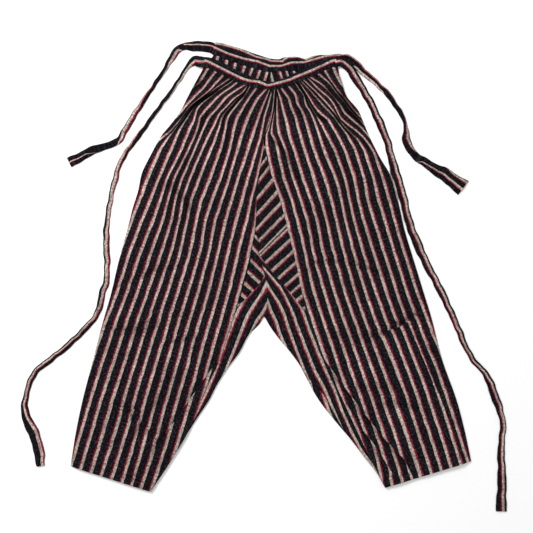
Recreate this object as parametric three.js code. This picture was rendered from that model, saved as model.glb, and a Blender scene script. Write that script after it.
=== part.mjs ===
// Monpe work trousers of striped cotton, laid flat and face up. Millimetres, +Z up from the surface they
// lie on, +Y towards the waist. "left" and "right" are the sides as seen from above.
//
// The layers, from the surface up: the two back panels; the inner-leg pieces, folded round the inseams, with
// the two halves of the crotch gusset in the same layer; the two front panels, whose inner edges lap over
// that layer; and the front waistband. The back waistband shows above the front one, with the gathered
// inside of the back between them. Each waistband runs out into a tie at each end.

import * as THREE from 'three';

// Driving dimensions.
const cloth = 1.2;                // wall of a panel
const seam = 0.3;                 // air between two sewn pieces
const bandWall = 1.0;             // wall of a folded waistband
const tieEdge = 1.4;              // a tie at its edges
const tieMiddle = 3.0;            // a tie along its middle, where it is folded thickest
const foldedIn = 9;               // how far an inner-leg piece turns in under itself at the inseam
const originShift = { x: 1.7, y: -1.4 };   // brings the middle of the whole garment over the origin

// Heights of the undersides of the layers.
const backLevel = 0;
const turnedLevel = backLevel + cloth + seam;
const middleLevel = turnedLevel + cloth + seam;
const frontLevel = middleLevel + cloth + seam;
const sideLevel = backLevel + cloth + seam;
const bandGap = 0.4;              // air between the two waistbands where the front one lies on the back one

const cottonColour = 0x443839;     // the stripes' colours together

// ---------------------------------------------------------------- tables and curves

/** Rows of numbers under the names of their columns. */
function table(names, rows) {
  return rows.map((row) => Object.fromEntries(names.map((name, i) => [name, row[i]])));
}

/** A table read at a place between its rows, 0 to its last row, on smooth curves through them. */
function readSmooth(rows, place) {
  const last = rows.length - 1;
  const before = Math.min(Math.floor(place), last - 1);
  const share = place - before;
  const near = [before - 1, before, before + 1, before + 2].map((i) => rows[THREE.MathUtils.clamp(i, 0, last)]);
  const read = {};
  for (const name of Object.keys(rows[0])) {
    const [a, b, c, d] = near.map((row) => row[name]);
    const turn = 2 * a - 5 * b + 4 * c - d;
    const bend = 3 * (b - c) + d - a;
    read[name] = b + 0.5 * share * (c - a + share * (turn + share * bend));
  }
  return read;
}

/** 0 below from, 1 above to, and a smooth step between. */
function step(value, from, to) {
  return THREE.MathUtils.smoothstep(value, from, to);
}

function mix(a, b, share) {
  return a + (b - a) * share;
}

/** The place on a line of points at a length along it, or past its end in the last direction. */
function pointAlong(line, length) {
  let left = length;
  for (let i = 0; i < line.length - 1; i += 1) {
    const [a, b] = [line[i], line[i + 1]];
    const run = Math.hypot(b.x - a.x, b.y - a.y);
    if (left <= run || i === line.length - 2) {
      return { x: mix(a.x, b.x, left / run), y: mix(a.y, b.y, left / run) };
    }
    left -= run;
  }
  return line[0];
}

function lengths(line) {
  const found = [0];
  for (let i = 1; i < line.length; i += 1) {
    found.push(found[i - 1] + Math.hypot(line[i].x - line[i - 1].x, line[i].y - line[i - 1].y));
  }
  return found;
}

// ---------------------------------------------------------------- cloth as a closed wall

/**
 * A wall of cloth. Each row is a list of { low, high }, the points on its two faces, and every row has as
 * many as the others. The faces are joined all round, so the wall is one closed body.
 */
function clothWall(name, rows) {
  const across = rows[0].length;
  const positions = [];
  for (const side of ['low', 'high']) {
    for (const row of rows) {
      for (const point of row) positions.push(...point[side]);
    }
  }
  const half = rows.length * across;
  const at = (i, j) => i * across + j;
  const faces = [];
  const quad = (a, b, c, d) => faces.push(a, b, c, a, c, d);
  for (let i = 0; i < rows.length - 1; i += 1) {
    for (let j = 0; j < across - 1; j += 1) {
      const [a, b, c, d] = [at(i, j), at(i, j + 1), at(i + 1, j + 1), at(i + 1, j)];
      quad(a, b, c, d);
      quad(d + half, c + half, b + half, a + half);
    }
  }
  const rim = [];
  for (let j = 0; j < across; j += 1) rim.push(at(0, j));
  for (let i = 1; i < rows.length; i += 1) rim.push(at(i, across - 1));
  for (let j = across - 2; j >= 0; j -= 1) rim.push(at(rows.length - 1, j));
  for (let i = rows.length - 2; i > 0; i -= 1) rim.push(at(i, 0));
  rim.forEach((a, i) => {
    const b = rim[(i + 1) % rim.length];
    quad(b, a, a + half, b + half);
  });

  if (enclosed(positions, faces) < 0) faces.reverse();
  const geometry = new THREE.BufferGeometry();
  geometry.setAttribute('position', new THREE.Float32BufferAttribute(positions, 3));
  geometry.setIndex(faces);
  geometry.computeVertexNormals();
  const material = new THREE.MeshStandardMaterial({ color: cottonColour, roughness: 0.9, metalness: 0 });
  const mesh = new THREE.Mesh(geometry, material);
  mesh.name = name;
  return mesh;
}

/** The volume inside the faces, negative where they point inwards. */
function enclosed(positions, faces) {
  const corner = (i) => new THREE.Vector3().fromArray(positions, 3 * i);
  let sum = 0;
  for (let i = 0; i < faces.length; i += 3) {
    const [a, b, c] = [corner(faces[i]), corner(faces[i + 1]), corner(faces[i + 2])];
    sum += a.dot(b.cross(c)) / 6;
  }
  return sum;
}

/** Both faces of a wall that lies nearly flat: the point under it, and the one straight above. */
function flatWall(x, y, z, wall = cloth) {
  return { low: [x, y, z], high: [x, y, z + wall] };
}

// ---------------------------------------------------------------- folds and gathers

const foldColumns = ['fromX', 'fromY', 'toX', 'toY', 'height', 'halfWidth'];

/** The height that a list of folds adds at a place: each is a soft ridge that fades towards its far end. */
function foldHeight(folds, x, y) {
  let height = 0;
  for (const fold of folds) {
    const [runX, runY] = [fold.toX - fold.fromX, fold.toY - fold.fromY];
    const along = ((x - fold.fromX) * runX + (y - fold.fromY) * runY) / (runX ** 2 + runY ** 2);
    const held = THREE.MathUtils.clamp(along, 0, 1);
    const away = Math.hypot(x - fold.fromX - held * runX, y - fold.fromY - held * runY) / fold.halfWidth;
    const ridge = Math.max(0, 1 - away ** 2) ** 2 * (1 - 0.6 * held);
    height = Math.max(height, fold.height * ridge);
  }
  return height;
}

// ---------------------------------------------------------------- front panels

const edgeColumns = ['outerX', 'outerY', 'innerX', 'innerY'];

// A row for each section across a panel, from the waistband to the hem.
const frontEdges = {
  left: table(edgeColumns, [
    [-124, 433, 11, 386],
    [-127, 425, 13, 379],
    [-141, 400, 14, 355],
    [-157, 371, 10, 320],
    [-172, 342, -1, 287],
    [-191, 315, -4, 258],
    [-213, 288, -10, 226],
    [-235, 248, -16, 178],
    [-252, 213, -18, 139],
    [-260, 176, -20, 100],
    [-271, 141, -26, 64],
    [-279, 109, -31, 31],
    [-300, 31, -53, -47],
    [-315, -33, -73, -109],
    [-332, -92, -92, -168],
    [-350, -162, -123, -234],
    [-373, -250, -158, -318],
    [-388, -322, -197, -383],
    [-398, -387, -234, -439],
  ]),
  right: table(edgeColumns, [
    [143, 434, 11, 386],
    [146, 426, 13, 379],
    [156, 400, 14, 355],
    [167, 370, 10, 320],
    [189, 344, 1.5, 287],
    [201, 318, 2, 256],
    [213, 289, 8, 226],
    [234, 247, 23, 182],
    [258, 206, 35, 144],
    [270, 166, 47, 96],
    [278, 131, 55, 62],
    [287, 92, 64, 27],
    [308, 23, 79, -49],
    [324, -29, 92, -100],
    [342, -88, 115, -158],
    [363, -170, 152, -236],
    [391, -248, 187, -312],
    [408, -311, 215, -371],
    [422, -377, 246, -431],
  ]),
};

const frontFolds = {
  left: table(foldColumns, [
    [-84, 387, -150, 346, 4.0, 11],
    [-150, 346, -215, 277, 3.6, 11],
    [-116, 420, -137, 385, 2.6, 6],
    [-102, 412, -165, 345, 2.8, 7],
    [-88, 404, -115, 379, 2.6, 7],
    [-59, 392, -109, 338, 3.2, 8],
    [-43, 385, -100, 322, 3.4, 8],
    [-18, 381, -68, 305, 3.0, 8],
    [0, 379, -35, 315, 2.6, 7],
    [-133, 324, -158, 250, 2.2, 9],
    [-110, 330, -180, 200, 1.8, 12],
    [-102, -180, -205, -324, 2.4, 9],
    [-275, -426, -205, -324, 3.0, 10],
  ]),
  right: table(foldColumns, [
    [115, 396, 174, 340, 3.6, 9],
    [133, 373, 160, 305, 3.2, 9],
    [160, 305, 215, 269, 3.4, 11],
    [66, 390, 86, 361, 3.0, 7],
    [86, 361, 107, 326, 3.0, 8],
    [35, 383, 51, 342, 2.6, 7],
    [49, 387, 72, 338, 2.8, 7],
    [74, 398, 123, 338, 2.8, 8],
    [90, 404, 141, 349, 2.8, 8],
    [134, 415, 158, 363, 2.8, 7],
    [12, 297, 40, 267, 2.0, 7],
    [121, -168, 203, -279, 2.4, 9],
    [303, -406, 203, -279, 3.0, 10],
  ]),
};

const freeRows = { from: 1.3, to: 2.2 };    // where the front leaves its waistband and its folds begin
const settledRow = 4;                       // from here down its side edge lies on the back panel
const frontLoft = 0.6;                      // how far the middle of a front panel stands up

// The undersides of the waistbands, and of the panels where the bands hold them.
const bandBase = { back: backLevel, front: backLevel + 2 * (bandWall + seam) + cloth + bandGap };
const heldLevel = { back: bandBase.back + bandWall + seam, front: bandBase.front + bandWall + seam };

/** Places down a panel, in rows of its table: closer together above than below. */
function panelPlaces(last, fineTo, fine, coarse) {
  const places = [];
  for (let place = 0; place < fineTo; place += fine) places.push(place);
  for (let place = fineTo; place < last; place += coarse) places.push(place);
  places.push(last);
  return places;
}

function frontPanel(side) {
  const edges = frontEdges[side];
  const columns = 30;
  const sign = side === 'left' ? -1 : 1;
  const rows = panelPlaces(edges.length - 1, 6, 0.5, 1).map((place) => {
    const edge = readSmooth(edges, place);
    const free = step(place, freeRows.from, freeRows.to);
    const inner = mix(heldLevel.front, frontLevel, free);
    const atSide = mix(heldLevel.front, sideLevel, step(place, freeRows.from, settledRow));
    const width = Math.hypot(edge.innerX - edge.outerX, edge.innerY - edge.outerY);
    const row = [];
    for (let j = 0; j <= columns; j += 1) {
      const share = j / columns;
      const x = mix(edge.outerX, edge.innerX + sign * seam / 2, share);
      const y = mix(edge.outerY, edge.innerY, share);
      const fromSide = share * width;
      const toMiddle = step(fromSide, 0, 24);
      const insideEdge = step(width - fromSide, 2, 22);
      const folds = foldHeight(frontFolds[side], x, y) * step(fromSide, 1, 9) * insideEdge;
      const level = mix(atSide, inner + frontLoft * insideEdge * free, toMiddle);
      row.push(flatWall(x, y, level + free * folds));
    }
    return row;
  });
  return clothWall(`front_${side}`, rows);
}

// ---------------------------------------------------------------- back panels

const backEdges = {
  left: table(edgeColumns, [
    [-104, 462, 12, 430],
    [-106, 455, 12, 419],
    [-121, 432, 11, 391],
    [-135, 408, 10, 357],
    [-156, 370, 8, 312],
    [-190, 313, 6, 256],
    [-233, 246, 4, 178],
    [-259, 176, 2, 96],
    [-279, 109, 0, 24],
    [-300, 31, -1, -76],
    [-315, -33, -37, -122],
    [-332, -92, -75, -173],
    [-350, -162, -108, -238],
    [-373, -250, -159, -318],
    [-388, -322, -198, -383],
    [-398, -387, -235, -439],
  ]),
  right: table(edgeColumns, [
    [149, 441, 12, 429],
    [150, 431, 12, 419],
    [153, 414, 11, 391],
    [155, 393, 10, 357],
    [165, 370, 8, 312],
    [199, 315, 6, 256],
    [233, 247, 4, 178],
    [268, 166, 2, 96],
    [286, 92, 0, 24],
    [308, 23, -1, -76],
    [324, -29, 31, -121],
    [342, -88, 69, -177],
    [363, -170, 110, -252],
    [391, -248, 169, -325],
    [408, -311, 213, -376],
    [422, -377, 246, -431],
  ]),
};

const bandRow = 1;                // the back panel's row at its waistband's lower edge
const backGathers = { left: 8, right: 8 };
const gatherHeight = 1.5;
const backInset = 1.0;            // a back panel's side edge keeps this far inside the front one's

function backPanel(side) {
  const edges = backEdges[side];
  const columns = 24;
  const sign = side === 'left' ? -1 : 1;
  const rows = panelPlaces(edges.length - 1, 4, 0.5, 1).map((place) => {
    const edge = readSmooth(edges, place);
    const inBand = 1 - step(place, bandRow + 0.3, bandRow + 0.9);
    const gathered = step(place, bandRow + 0.2, bandRow + 0.9) * (1 - step(place, 2.2, 4));
    const row = [];
    for (let j = 0; j <= columns; j += 1) {
      const share = j / columns;
      const x = mix(edge.outerX - sign * backInset, edge.innerX + sign * seam / 2, share);
      const y = mix(edge.outerY, edge.innerY, share);
      const wave = 0.5 - 0.5 * Math.cos(2 * Math.PI * backGathers[side] * share);
      const clearOfSide = step(share, 0.04, 0.16);
      const level = Math.max(heldLevel.back * inBand, gatherHeight * wave * gathered * clearOfSide);
      row.push(flatWall(x, y, level));
    }
    return row;
  });
  return clothWall(`back_${side}`, rows);
}

// ---------------------------------------------------------------- crotch: gusset and inner-leg pieces

const pointColumns = ['x', 'y'];

// The seam up the middle, from the crotch to the top of the left half of the gusset.
const middleSeam = table(pointColumns, [
  [-2, -80],
  [3, -64],
  [5, -47],
  [5, -27],
  [2, -8],
  [-1, 5],
  [-6, 25],
  [-12, 45],
  [-13, 72],
  [-20, 98],
]);
const seamToLeftCorner = 5;       // its row at the top of the left inner-leg piece
const seamToRightCorner = 7;      // its row at the top of the right inner-leg piece

// Sections of an inner-leg piece, from the crotch to the hem: the fold at the inseam, and the upper edge.
const legColumns = ['foldX', 'foldY', 'topX', 'topY'];
const innerLegs = {
  left: table(legColumns, [
    [-2, -80, -1, 5],
    [-6, -84, -11, -14],
    [-12, -91, -27, -31],
    [-20, -100, -39, -45],
    [-30, -113, -51, -55],
    [-39, -127, -58, -64],
    [-53, -154, -78, -94],
    [-76, -185, -95, -150],
    [-97, -217, -113, -187],
    [-115, -252, -129, -226],
    [-137, -285, -153, -275],
    [-168, -334, -184, -325],
    [-197, -383, -212, -375],
    [-234, -439, -249, -434],
  ]),
  right: table(legColumns, [
    [-2, -80, -12, 45],
    [1, -84, 2, 27],
    [5, -91, 17, 8],
    [12, -103, 35, -12],
    [22, -117, 52, -33],
    [33, -131, 68, -53],
    [47, -147, 84, -74],
    [66, -172, 105, -111],
    [88, -205, 120, -148],
    [115, -234, 137, -185],
    [139, -273, 158, -229],
    [161, -312, 174, -273],
    [185, -344, 197, -312],
    [207, -373, 212, -346],
    [228, -400, 234, -381],
    [246, -431, 260, -424],
  ]),
};
const gussetRowsOnLeft = 5;       // rows of the left table whose upper edge is the gusset's lower one
const gussetRowsOnRight = 6;
const bowedSections = 4;          // the sections over which the middle seam's bow dies out

/** A folded edge in section: the wall's two faces at lengths from the fold, under, round it and over. */
function foldedSection(underLengths, overLengths, inside, wall) {
  const outside = inside + wall;
  const section = underLengths.map((run) => ({ low: [run, -inside], high: [run, -outside] }));
  for (const turn of [-90, -45, 0, 45, 90]) {
    const angle = THREE.MathUtils.degToRad(turn);
    const at = (radius) => [outside - radius * Math.cos(angle), radius * Math.sin(angle)];
    section.push({ low: at(inside), high: at(outside) });
  }
  for (const run of overLengths) section.push({ low: [run, inside], high: [run, outside] });
  return section;
}

function innerLeg(side) {
  const sign = side === 'left' ? -1 : 1;
  const seamRows = (side === 'left' ? seamToLeftCorner : seamToRightCorner) + 1;
  const centre = middleSeam.slice(0, seamRows).map(({ x, y }) => ({ x: x + sign * seam / 2, y }));
  const runs = lengths(centre);
  const shares = runs.map((run) => run / runs[runs.length - 1]);
  const chord = [centre[0], centre[centre.length - 1]];
  const bow = centre.map(({ x, y }, j) => ({
    x: x - mix(chord[0].x, chord[1].x, shares[j]),
    y: y - mix(chord[0].y, chord[1].y, shares[j]),
  }));
  const inside = seam / 2;
  const fold = turnedLevel + cloth + inside;
  const rows = innerLegs[side].map((leg, i) => {
    const bowed = Math.max(0, 1 - i / bowedSections);
    const straight = shares.map((share, j) => ({
      x: mix(leg.foldX, leg.topX, share) + bowed * bow[j].x,
      y: mix(leg.foldY, leg.topY, share) + bowed * bow[j].y,
    }));
    const line = i === 0 ? centre : straight;
    const over = lengths(line).slice(1);
    const section = foldedSection([foldedIn, foldedIn / 2], over, inside, cloth);
    const place = ([run, height]) => {
      const at = pointAlong(line, run);
      return [at.x, at.y, fold + height];
    };
    return section.map(({ low, high }) => ({ low: place(low), high: place(high) }));
  });
  return clothWall(`inner_leg_${side}`, rows);
}

// Sections across a half of the gusset that lie above its seams, from the top down.
const gussetColumns = ['leftX', 'rightX', 'y'];
const gussetTop = table(gussetColumns, [
  [-6, 2, 268],
  [-18, 16, 230],
  [-25, 33, 178],
  [-27, 46, 137],
]);
const gussetRightEdge = table(pointColumns, [
  [54, 98],
  [61.5, 72],
  [68, 45],
  [72, 27],
  [76, 8],
  [80, -12],
  [84, -33],
  [88, -53],
  [92, -74],
]);
const gussetLeftEdge = table(pointColumns, [
  [-29, 98],
  [-31, 72],
  [-36, 45],
  [-40, 25],
  [-45, 5],
  [-50, -14],
  [-55, -31],
  [-59, -45],
  [-63, -55],
  [-65, -64],
]);
const seamToLeftGusset = 9;       // the middle seam's row at the top of the gusset's left half
const seamAllowance = 2 * seam;   // how far each half of the gusset stays clear of the middle seam

/** A row of the gusset from one edge to the other. */
function gussetRow(left, right, columns) {
  const row = [];
  for (let j = 0; j <= columns; j += 1) {
    const share = j / columns;
    row.push(flatWall(mix(left.x, right.x, share), mix(left.y, right.y, share), middleLevel));
  }
  return row;
}

function gussetRight() {
  const columns = 4;
  const rows = gussetTop.map(({ leftX, rightX, y }) => gussetRow({ x: leftX, y }, { x: rightX, y }, columns));
  const downSeam = middleSeam.slice(seamToRightCorner, seamToLeftGusset + 1).reverse();
  const aboveLeg = innerLegs.right.slice(1, gussetRowsOnRight + 1).map((leg) => ({ x: leg.topX, y: leg.topY }));
  [...downSeam, ...aboveLeg].forEach((point, i) => {
    const left = { x: point.x + seamAllowance, y: point.y };
    rows.push(gussetRow(left, gussetRightEdge[i], columns));
  });
  return clothWall('gusset_right', rows);
}

function gussetLeft() {
  const columns = 3;
  const downSeam = middleSeam.slice(seamToLeftCorner, seamToLeftGusset + 1).reverse();
  const aboveLeg = innerLegs.left.slice(1, gussetRowsOnLeft + 1).map((leg) => ({ x: leg.topX, y: leg.topY }));
  const rows = [...downSeam, ...aboveLeg].map((point, i) => {
    const right = { x: point.x - seamAllowance, y: point.y };
    return gussetRow(gussetLeftEdge[i], right, columns);
  });
  return clothWall('gusset_left', rows);
}

// ---------------------------------------------------------------- waistbands

// Sections along a waistband from left to right: its lower edge, and its width.
const bandColumns = ['x', 'y', 'width'];
const bands = {
  front: table(bandColumns, [
    [-126, 428, 22],
    [-114, 426, 22],
    [-100, 419, 23],
    [-84, 411, 23],
    [-69, 403, 23],
    [-53, 396, 22],
    [-37, 391, 21],
    [-19, 386, 19],
    [-2, 384, 17],
    [13, 382, 16],
    [31, 385, 18],
    [47, 389, 19],
    [68, 398, 20],
    [87, 406, 21],
    [112, 416, 21],
    [124, 423, 21],
    [136, 428, 21],
    [147, 429.5, 20],
  ]),
  back: table(bandColumns, [
    [-109, 456, 25],
    [-96, 452, 28],
    [-80, 445, 30],
    [-56, 437, 31],
    [-37, 431, 30],
    [-19, 426, 29],
    [0, 421, 28],
    [12, 420, 27],
    [31, 421, 25],
    [43, 422, 28],
    [62, 422, 29],
    [85, 421, 26],
    [108, 426, 28],
    [130, 429, 26],
    [150, 434, 23],
    [158, 435, 22],
  ]),
};
const bandFlatEnds = [0.35, 0.7];   // where a leaf of the band has sections between its edge and its fold

function waistband(name) {
  const stations = bands[name];
  const inside = cloth / 2 + seam;
  const middle = bandBase[name] + bandWall + inside;
  const rows = stations.map((station, i) => {
    const before = stations[Math.max(i - 1, 0)];
    const after = stations[Math.min(i + 1, stations.length - 1)];
    const run = Math.hypot(after.x - before.x, after.y - before.y);
    const up = { x: -(after.y - before.y) / run, y: (after.x - before.x) / run };
    const fold = { x: station.x + up.x * station.width, y: station.y + up.y * station.width };
    const line = [fold, { x: station.x, y: station.y }];
    const leaf = [...bandFlatEnds.map((share) => share * station.width), station.width];
    const section = foldedSection([...leaf].reverse(), leaf, inside, bandWall);
    const place = ([length, height]) => {
      const at = pointAlong(line, length);
      return [at.x, at.y, middle + height];
    };
    return section.map(({ low, high }) => ({ low: place(low), high: place(high) }));
  });
  return clothWall(`waistband_${name}`, rows);
}

// ---------------------------------------------------------------- ties

// Places along the middle of a tie, from its waistband to its free end.
const tieColumns = ['x', 'y', 'width', 'lift'];
const ties = {
  back_left: table(tieColumns, [
    [-106.9, 468.5, 22, 0.4],
    [-116, 471.3, 22, 0],
    [-143, 473, 20, 0],
    [-163, 472, 18, 0],
    [-181, 462, 15, 0],
    [-197, 442, 14, 0],
    [-214, 413, 13, 0],
    [-232, 386, 12, 0],
    [-247, 364, 13, 0],
    [-262, 342, 14, 0],
    [-277, 318, 13, 0],
    [-287, 299, 13, 0],
    [-299, 281, 13, 0],
    [-320, 270, 14, 0],
    [-343, 264, 16, 0],
    [-365, 253, 18, 0],
    [-385, 242, 20, 0],
    [-401, 234, 20, 0],
  ]),
  front_left: table(tieColumns, [
    [-124.7, 439, 21, 4.6],
    [-134, 440.5, 22, 3.4],
    [-145, 442, 20, 1.2],
    [-157, 431, 14, 0],
    [-168, 415, 11, 0],
    [-184, 388, 10, 0],
    [-203, 363, 11, 0],
    [-223, 339, 12, 0],
    [-241, 314, 11, 0],
    [-257, 291, 10, 0],
    [-273, 271, 10, 0],
    [-288, 250, 10, 0],
    [-299, 229, 10, 0],
    [-306, 202, 11, 0],
    [-314, 172, 10, 0],
    [-320, 141, 10, 0],
    [-324, 109, 11, 0],
    [-325, 70, 13, 0],
    [-324, 27, 12, 0],
    [-325, -9, 12, 0],
    [-334, -36, 14, 0],
    [-342, -70, 12, 0],
    [-360, -97, 12, 0],
    [-383, -121, 12, 0],
    [-411, -146, 12, 0],
    [-443, -172, 12, 0],
    [-472, -197, 12, 0],
    [-486, -228, 11, 0],
    [-492, -260, 13, 0],
    [-489, -287, 19, 0],
    [-478, -311, 22, 0],
    [-465, -348, 22, 0],
    [-459, -387, 18, 0],
  ]),
  back_right: table(tieColumns, [
    [158.6, 446, 20, 0.4],
    [168, 446.5, 20, 0],
    [185, 436, 19, 0],
    [206, 417, 17, 0],
    [229, 396, 17, 0],
    [248, 378, 17, 0],
    [262, 361, 14, 0],
    [273, 344, 14, 0],
    [282, 329, 12, 0],
    [287, 314, 9, 0],
    [288, 300, 11, 0],
    [289, 284, 16, 0],
    [295, 266, 17, 0],
    [307, 250, 16, 0],
    [323, 238, 17, 0],
    [346, 222, 22, 0],
    [374, 206, 28, 0],
    [406, 182, 34, 0],
  ]),
  front_right: table(tieColumns, [
    [146.6, 439.5, 19, 4.8],
    [157, 440, 20, 4.2],
    [169, 431, 19, 3.6],
    [180, 417, 18, 2.8],
    [189, 402, 17, 0.8],
    [198, 387, 16, 0],
    [216, 357, 15, 0],
    [233, 321, 16, 0],
    [248, 283, 15, 0],
    [256, 256, 14, 0],
    [263, 229, 18, 0],
    [271, 200, 19, 0],
    [279, 173, 18, 0],
    [287, 143, 17, 0],
    [297, 105, 17, 0],
    [313, 65, 18, 0],
    [331, 27, 16, 0],
    [348, -6, 15, 0],
    [365, -39, 15, 0],
    [381, -72, 13, 0],
    [395, -105, 13, 0],
    [408, -137, 12, 0],
    [428, -171, 11, 0],
    [453, -201, 13, 0],
    [467, -234, 17, 0],
    [479, -266, 15, 0],
    [487, -300, 12, 0],
    [484, -350, 14, 0],
    [485, -416, 18, 0],
    [484, -480, 22, 0],
  ]),
};

const tieAcross = [-1, -0.45, 0.45, 1];   // the sections' corners, in half widths

function tie(name) {
  const stations = ties[name];
  const last = stations.length - 1;
  const places = panelPlaces(last, 4, 0.5, 1);
  const path = places.map((place) => readSmooth(stations, place));
  const rows = path.map((here, i) => {
    const before = path[Math.max(i - 1, 0)];
    const after = path[Math.min(i + 1, path.length - 1)];
    const run = Math.hypot(after.x - before.x, after.y - before.y);
    const side = { x: -(after.y - before.y) / run, y: (after.x - before.x) / run };
    return tieAcross.map((share) => {
      const reach = share * here.width / 2;
      const wall = Math.abs(share) === 1 ? tieEdge : tieMiddle;
      return flatWall(here.x + side.x * reach, here.y + side.y * reach, Math.max(here.lift, 0), wall);
    });
  });
  return clothWall(`tie_${name}`, rows);
}

// ---------------------------------------------------------------- the garment

const group = new THREE.Group();
group.add(backPanel('left'), backPanel('right'));
group.add(innerLeg('left'), innerLeg('right'), gussetLeft(), gussetRight());
group.add(frontPanel('left'), frontPanel('right'));
group.add(waistband('back'), waistband('front'));
group.add(tie('back_left'), tie('back_right'), tie('front_left'), tie('front_right'));
group.position.set(originShift.x, originShift.y, 0);

export default group;
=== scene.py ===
# Monpe work trousers of striped cotton, laid flat. Tables are in millimetres on the surface that they lie on,
# or in pixels of the photograph's 533 x 533 frame where they say px. Both become metres in `smooth_mesh`.

import math

import bpy
import numpy as np
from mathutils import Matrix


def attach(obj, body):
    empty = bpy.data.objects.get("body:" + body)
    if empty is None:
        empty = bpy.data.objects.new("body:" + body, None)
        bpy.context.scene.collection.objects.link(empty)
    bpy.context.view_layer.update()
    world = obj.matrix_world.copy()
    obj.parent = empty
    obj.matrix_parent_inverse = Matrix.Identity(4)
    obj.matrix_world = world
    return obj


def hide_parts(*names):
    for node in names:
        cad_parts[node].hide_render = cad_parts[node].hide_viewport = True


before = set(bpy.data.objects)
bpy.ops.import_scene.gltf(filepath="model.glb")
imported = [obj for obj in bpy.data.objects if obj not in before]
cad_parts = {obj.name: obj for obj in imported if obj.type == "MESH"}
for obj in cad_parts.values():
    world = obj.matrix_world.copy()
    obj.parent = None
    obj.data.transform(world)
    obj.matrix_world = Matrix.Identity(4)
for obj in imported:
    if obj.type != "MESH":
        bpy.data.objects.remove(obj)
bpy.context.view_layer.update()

PX = 2.05                      # millimetres to a pixel
CENTRE_PX = (265.0, 277.0)     # the pixel over the tables' origin
SHIFT = (1.7, -1.4)            # from the tables' origin to the part's
REPEAT = 21.0                  # one repeat of the stripes
CLOTH, THIN = 0.8, 0.7         # thickness of the cotton as shown: of the fronts, and about the crotch
WALL = 1.2                     # thickness of the part's own panels
SEAM_GAP = 0.15                # half of what is left open between two panels
CROTCH_LEVEL = 3.0             # underside of the inner legs and the gusset
PHOTO_SIDE = 533               # px


# ---- numbers and curves

def mm(points):
    """Pixels of the photograph to millimetres."""
    points = np.asarray(points, float)
    return np.stack([(points[..., 0] - CENTRE_PX[0]) * PX, (CENTRE_PX[1] - points[..., 1]) * PX], -1)


def step(value, low, high):
    """A share that rises softly from 0 at low to 1 at high."""
    share = np.clip((value - low) / (high - low), 0, 1)
    return share * share * (3 - 2 * share)


def mix(a, b, share):
    return a + (b - a) * share


def bell(value):
    return np.exp(-value ** 2)


def distance(points, others):
    return np.hypot(*(points - others).transpose(2, 0, 1))


def lengths(line):
    """How far along a line each of its points is, seen from above."""
    return np.concatenate([[0], np.cumsum(np.hypot(*np.diff(line[:, :2], axis=0).T))])


def left_of(line):
    """The way to the left of a line at each of its points."""
    way = np.gradient(line, axis=0)
    way /= np.hypot(*way.T)[:, None]
    return np.stack([-way[:, 1], way[:, 0]], -1)


def ruled(edges, share):
    """A grid between two edges, from rows of x, y and x, y, at shares of the way across."""
    return mix(edges[:, None, :2], edges[:, None, 2:], share[:, None])


def xyz(grid, height):
    return np.concatenate([grid, height[..., None]], -1)


def read_rows(rows, places):
    """A table read between its rows on smooth curves, as the part's source reads it."""
    rows = np.asarray(rows, float)
    last = len(rows) - 1
    before = np.minimum(np.floor(places).astype(int), last - 1)
    share = (places - before)[:, None]
    a, b, c, d = (rows[np.clip(before + n, 0, last)] for n in (-1, 0, 1, 2))
    return b + 0.5 * share * (c - a + share * (2 * a - 5 * b + 4 * c - d + share * (3 * (b - c) + d - a)))


def soften(values, passes):
    """Smooths values down their first axis and keeps both ends."""
    values = np.array(values, float)
    for _ in range(passes):
        values[1:-1] = 0.25 * values[:-2] + 0.5 * values[1:-1] + 0.25 * values[2:]
    return values


def beside(points, line):
    """Signed distance of points from a line of points, positive on its left, and how far along they are."""
    line = np.asarray(line, float)
    best, signed, along = (np.full(points.shape[:-1], value) for value in (1e9, 0.0, 0.0))
    run = 0.0
    for a, b in zip(line[:-1], line[1:]):
        way = b - a
        length = math.hypot(*way)
        share = ((points - a) @ way) / length ** 2
        held = np.clip(share, 0, 1)
        off = points - a - held[..., None] * way
        away = np.hypot(off[..., 0], off[..., 1])
        side = np.sign(way[0] * (points[..., 1] - a[1]) - way[1] * (points[..., 0] - a[0]))
        nearer = away < best - 1e-9
        best = np.where(nearer, away, best)
        signed = np.where(nearer, away * side, signed)
        along = np.where(nearer, run + held * length, along)
        run += length
    return signed, along, run


def ripple(points, size, seed):
    """A gentle unevenness between about -1 and 1, the same on every run."""
    x, y = points[..., 0], points[..., 1]
    total = np.zeros(np.shape(x))
    for i in range(5):
        turn = seed * 1.7 + i * 2.4
        wave = size * (0.6 + 0.35 * i)
        total += np.sin((x * math.cos(turn) + y * math.sin(turn)) * 2 * math.pi / wave + seed + 3.1 * i)
    return total / 3.2


# ---- materials

CREAM_COLOUR = (0.398, 0.334, 0.286)
RED_COLOUR = (0.250, 0.0075, 0.0280)
DARK_COLOUR = (0.0046, 0.0037, 0.0052)
GLINT_COLOUR = (0.0160, 0.0157, 0.0205)
WARP_PITCH, WEFT_PITCH = 1.05, 1.15


def new_material(name):
    material = bpy.data.materials.new(name)
    material.use_nodes = True
    return material, material.node_tree.nodes["Principled BSDF"]


def node(material, kind, inputs, output=0, **settings):
    """A new node's output. Its inputs are given as numbers or as other nodes' outputs, by their name or place."""
    new = material.node_tree.nodes.new("ShaderNode" + kind)
    for key, value in settings.items():
        setattr(new, key, value)
    connect(material, new, inputs)
    return new.outputs[output]


def connect(material, to, inputs):
    for key, value in inputs.items():
        if isinstance(value, bpy.types.NodeSocket):
            material.node_tree.links.new(value, to.inputs[key])
        else:
            to.inputs[key].default_value = value


def colour_ramp(material, share, stops):
    colours = node(material, "ValToRGB", {0: share})
    elements = colours.node.color_ramp.elements
    while len(elements) < len(stops):
        elements.new(0.5)
    for element, (position, colour) in zip(elements, stops):
        element.position = position
        element.color = (*colour, 1)
    return colours


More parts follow.
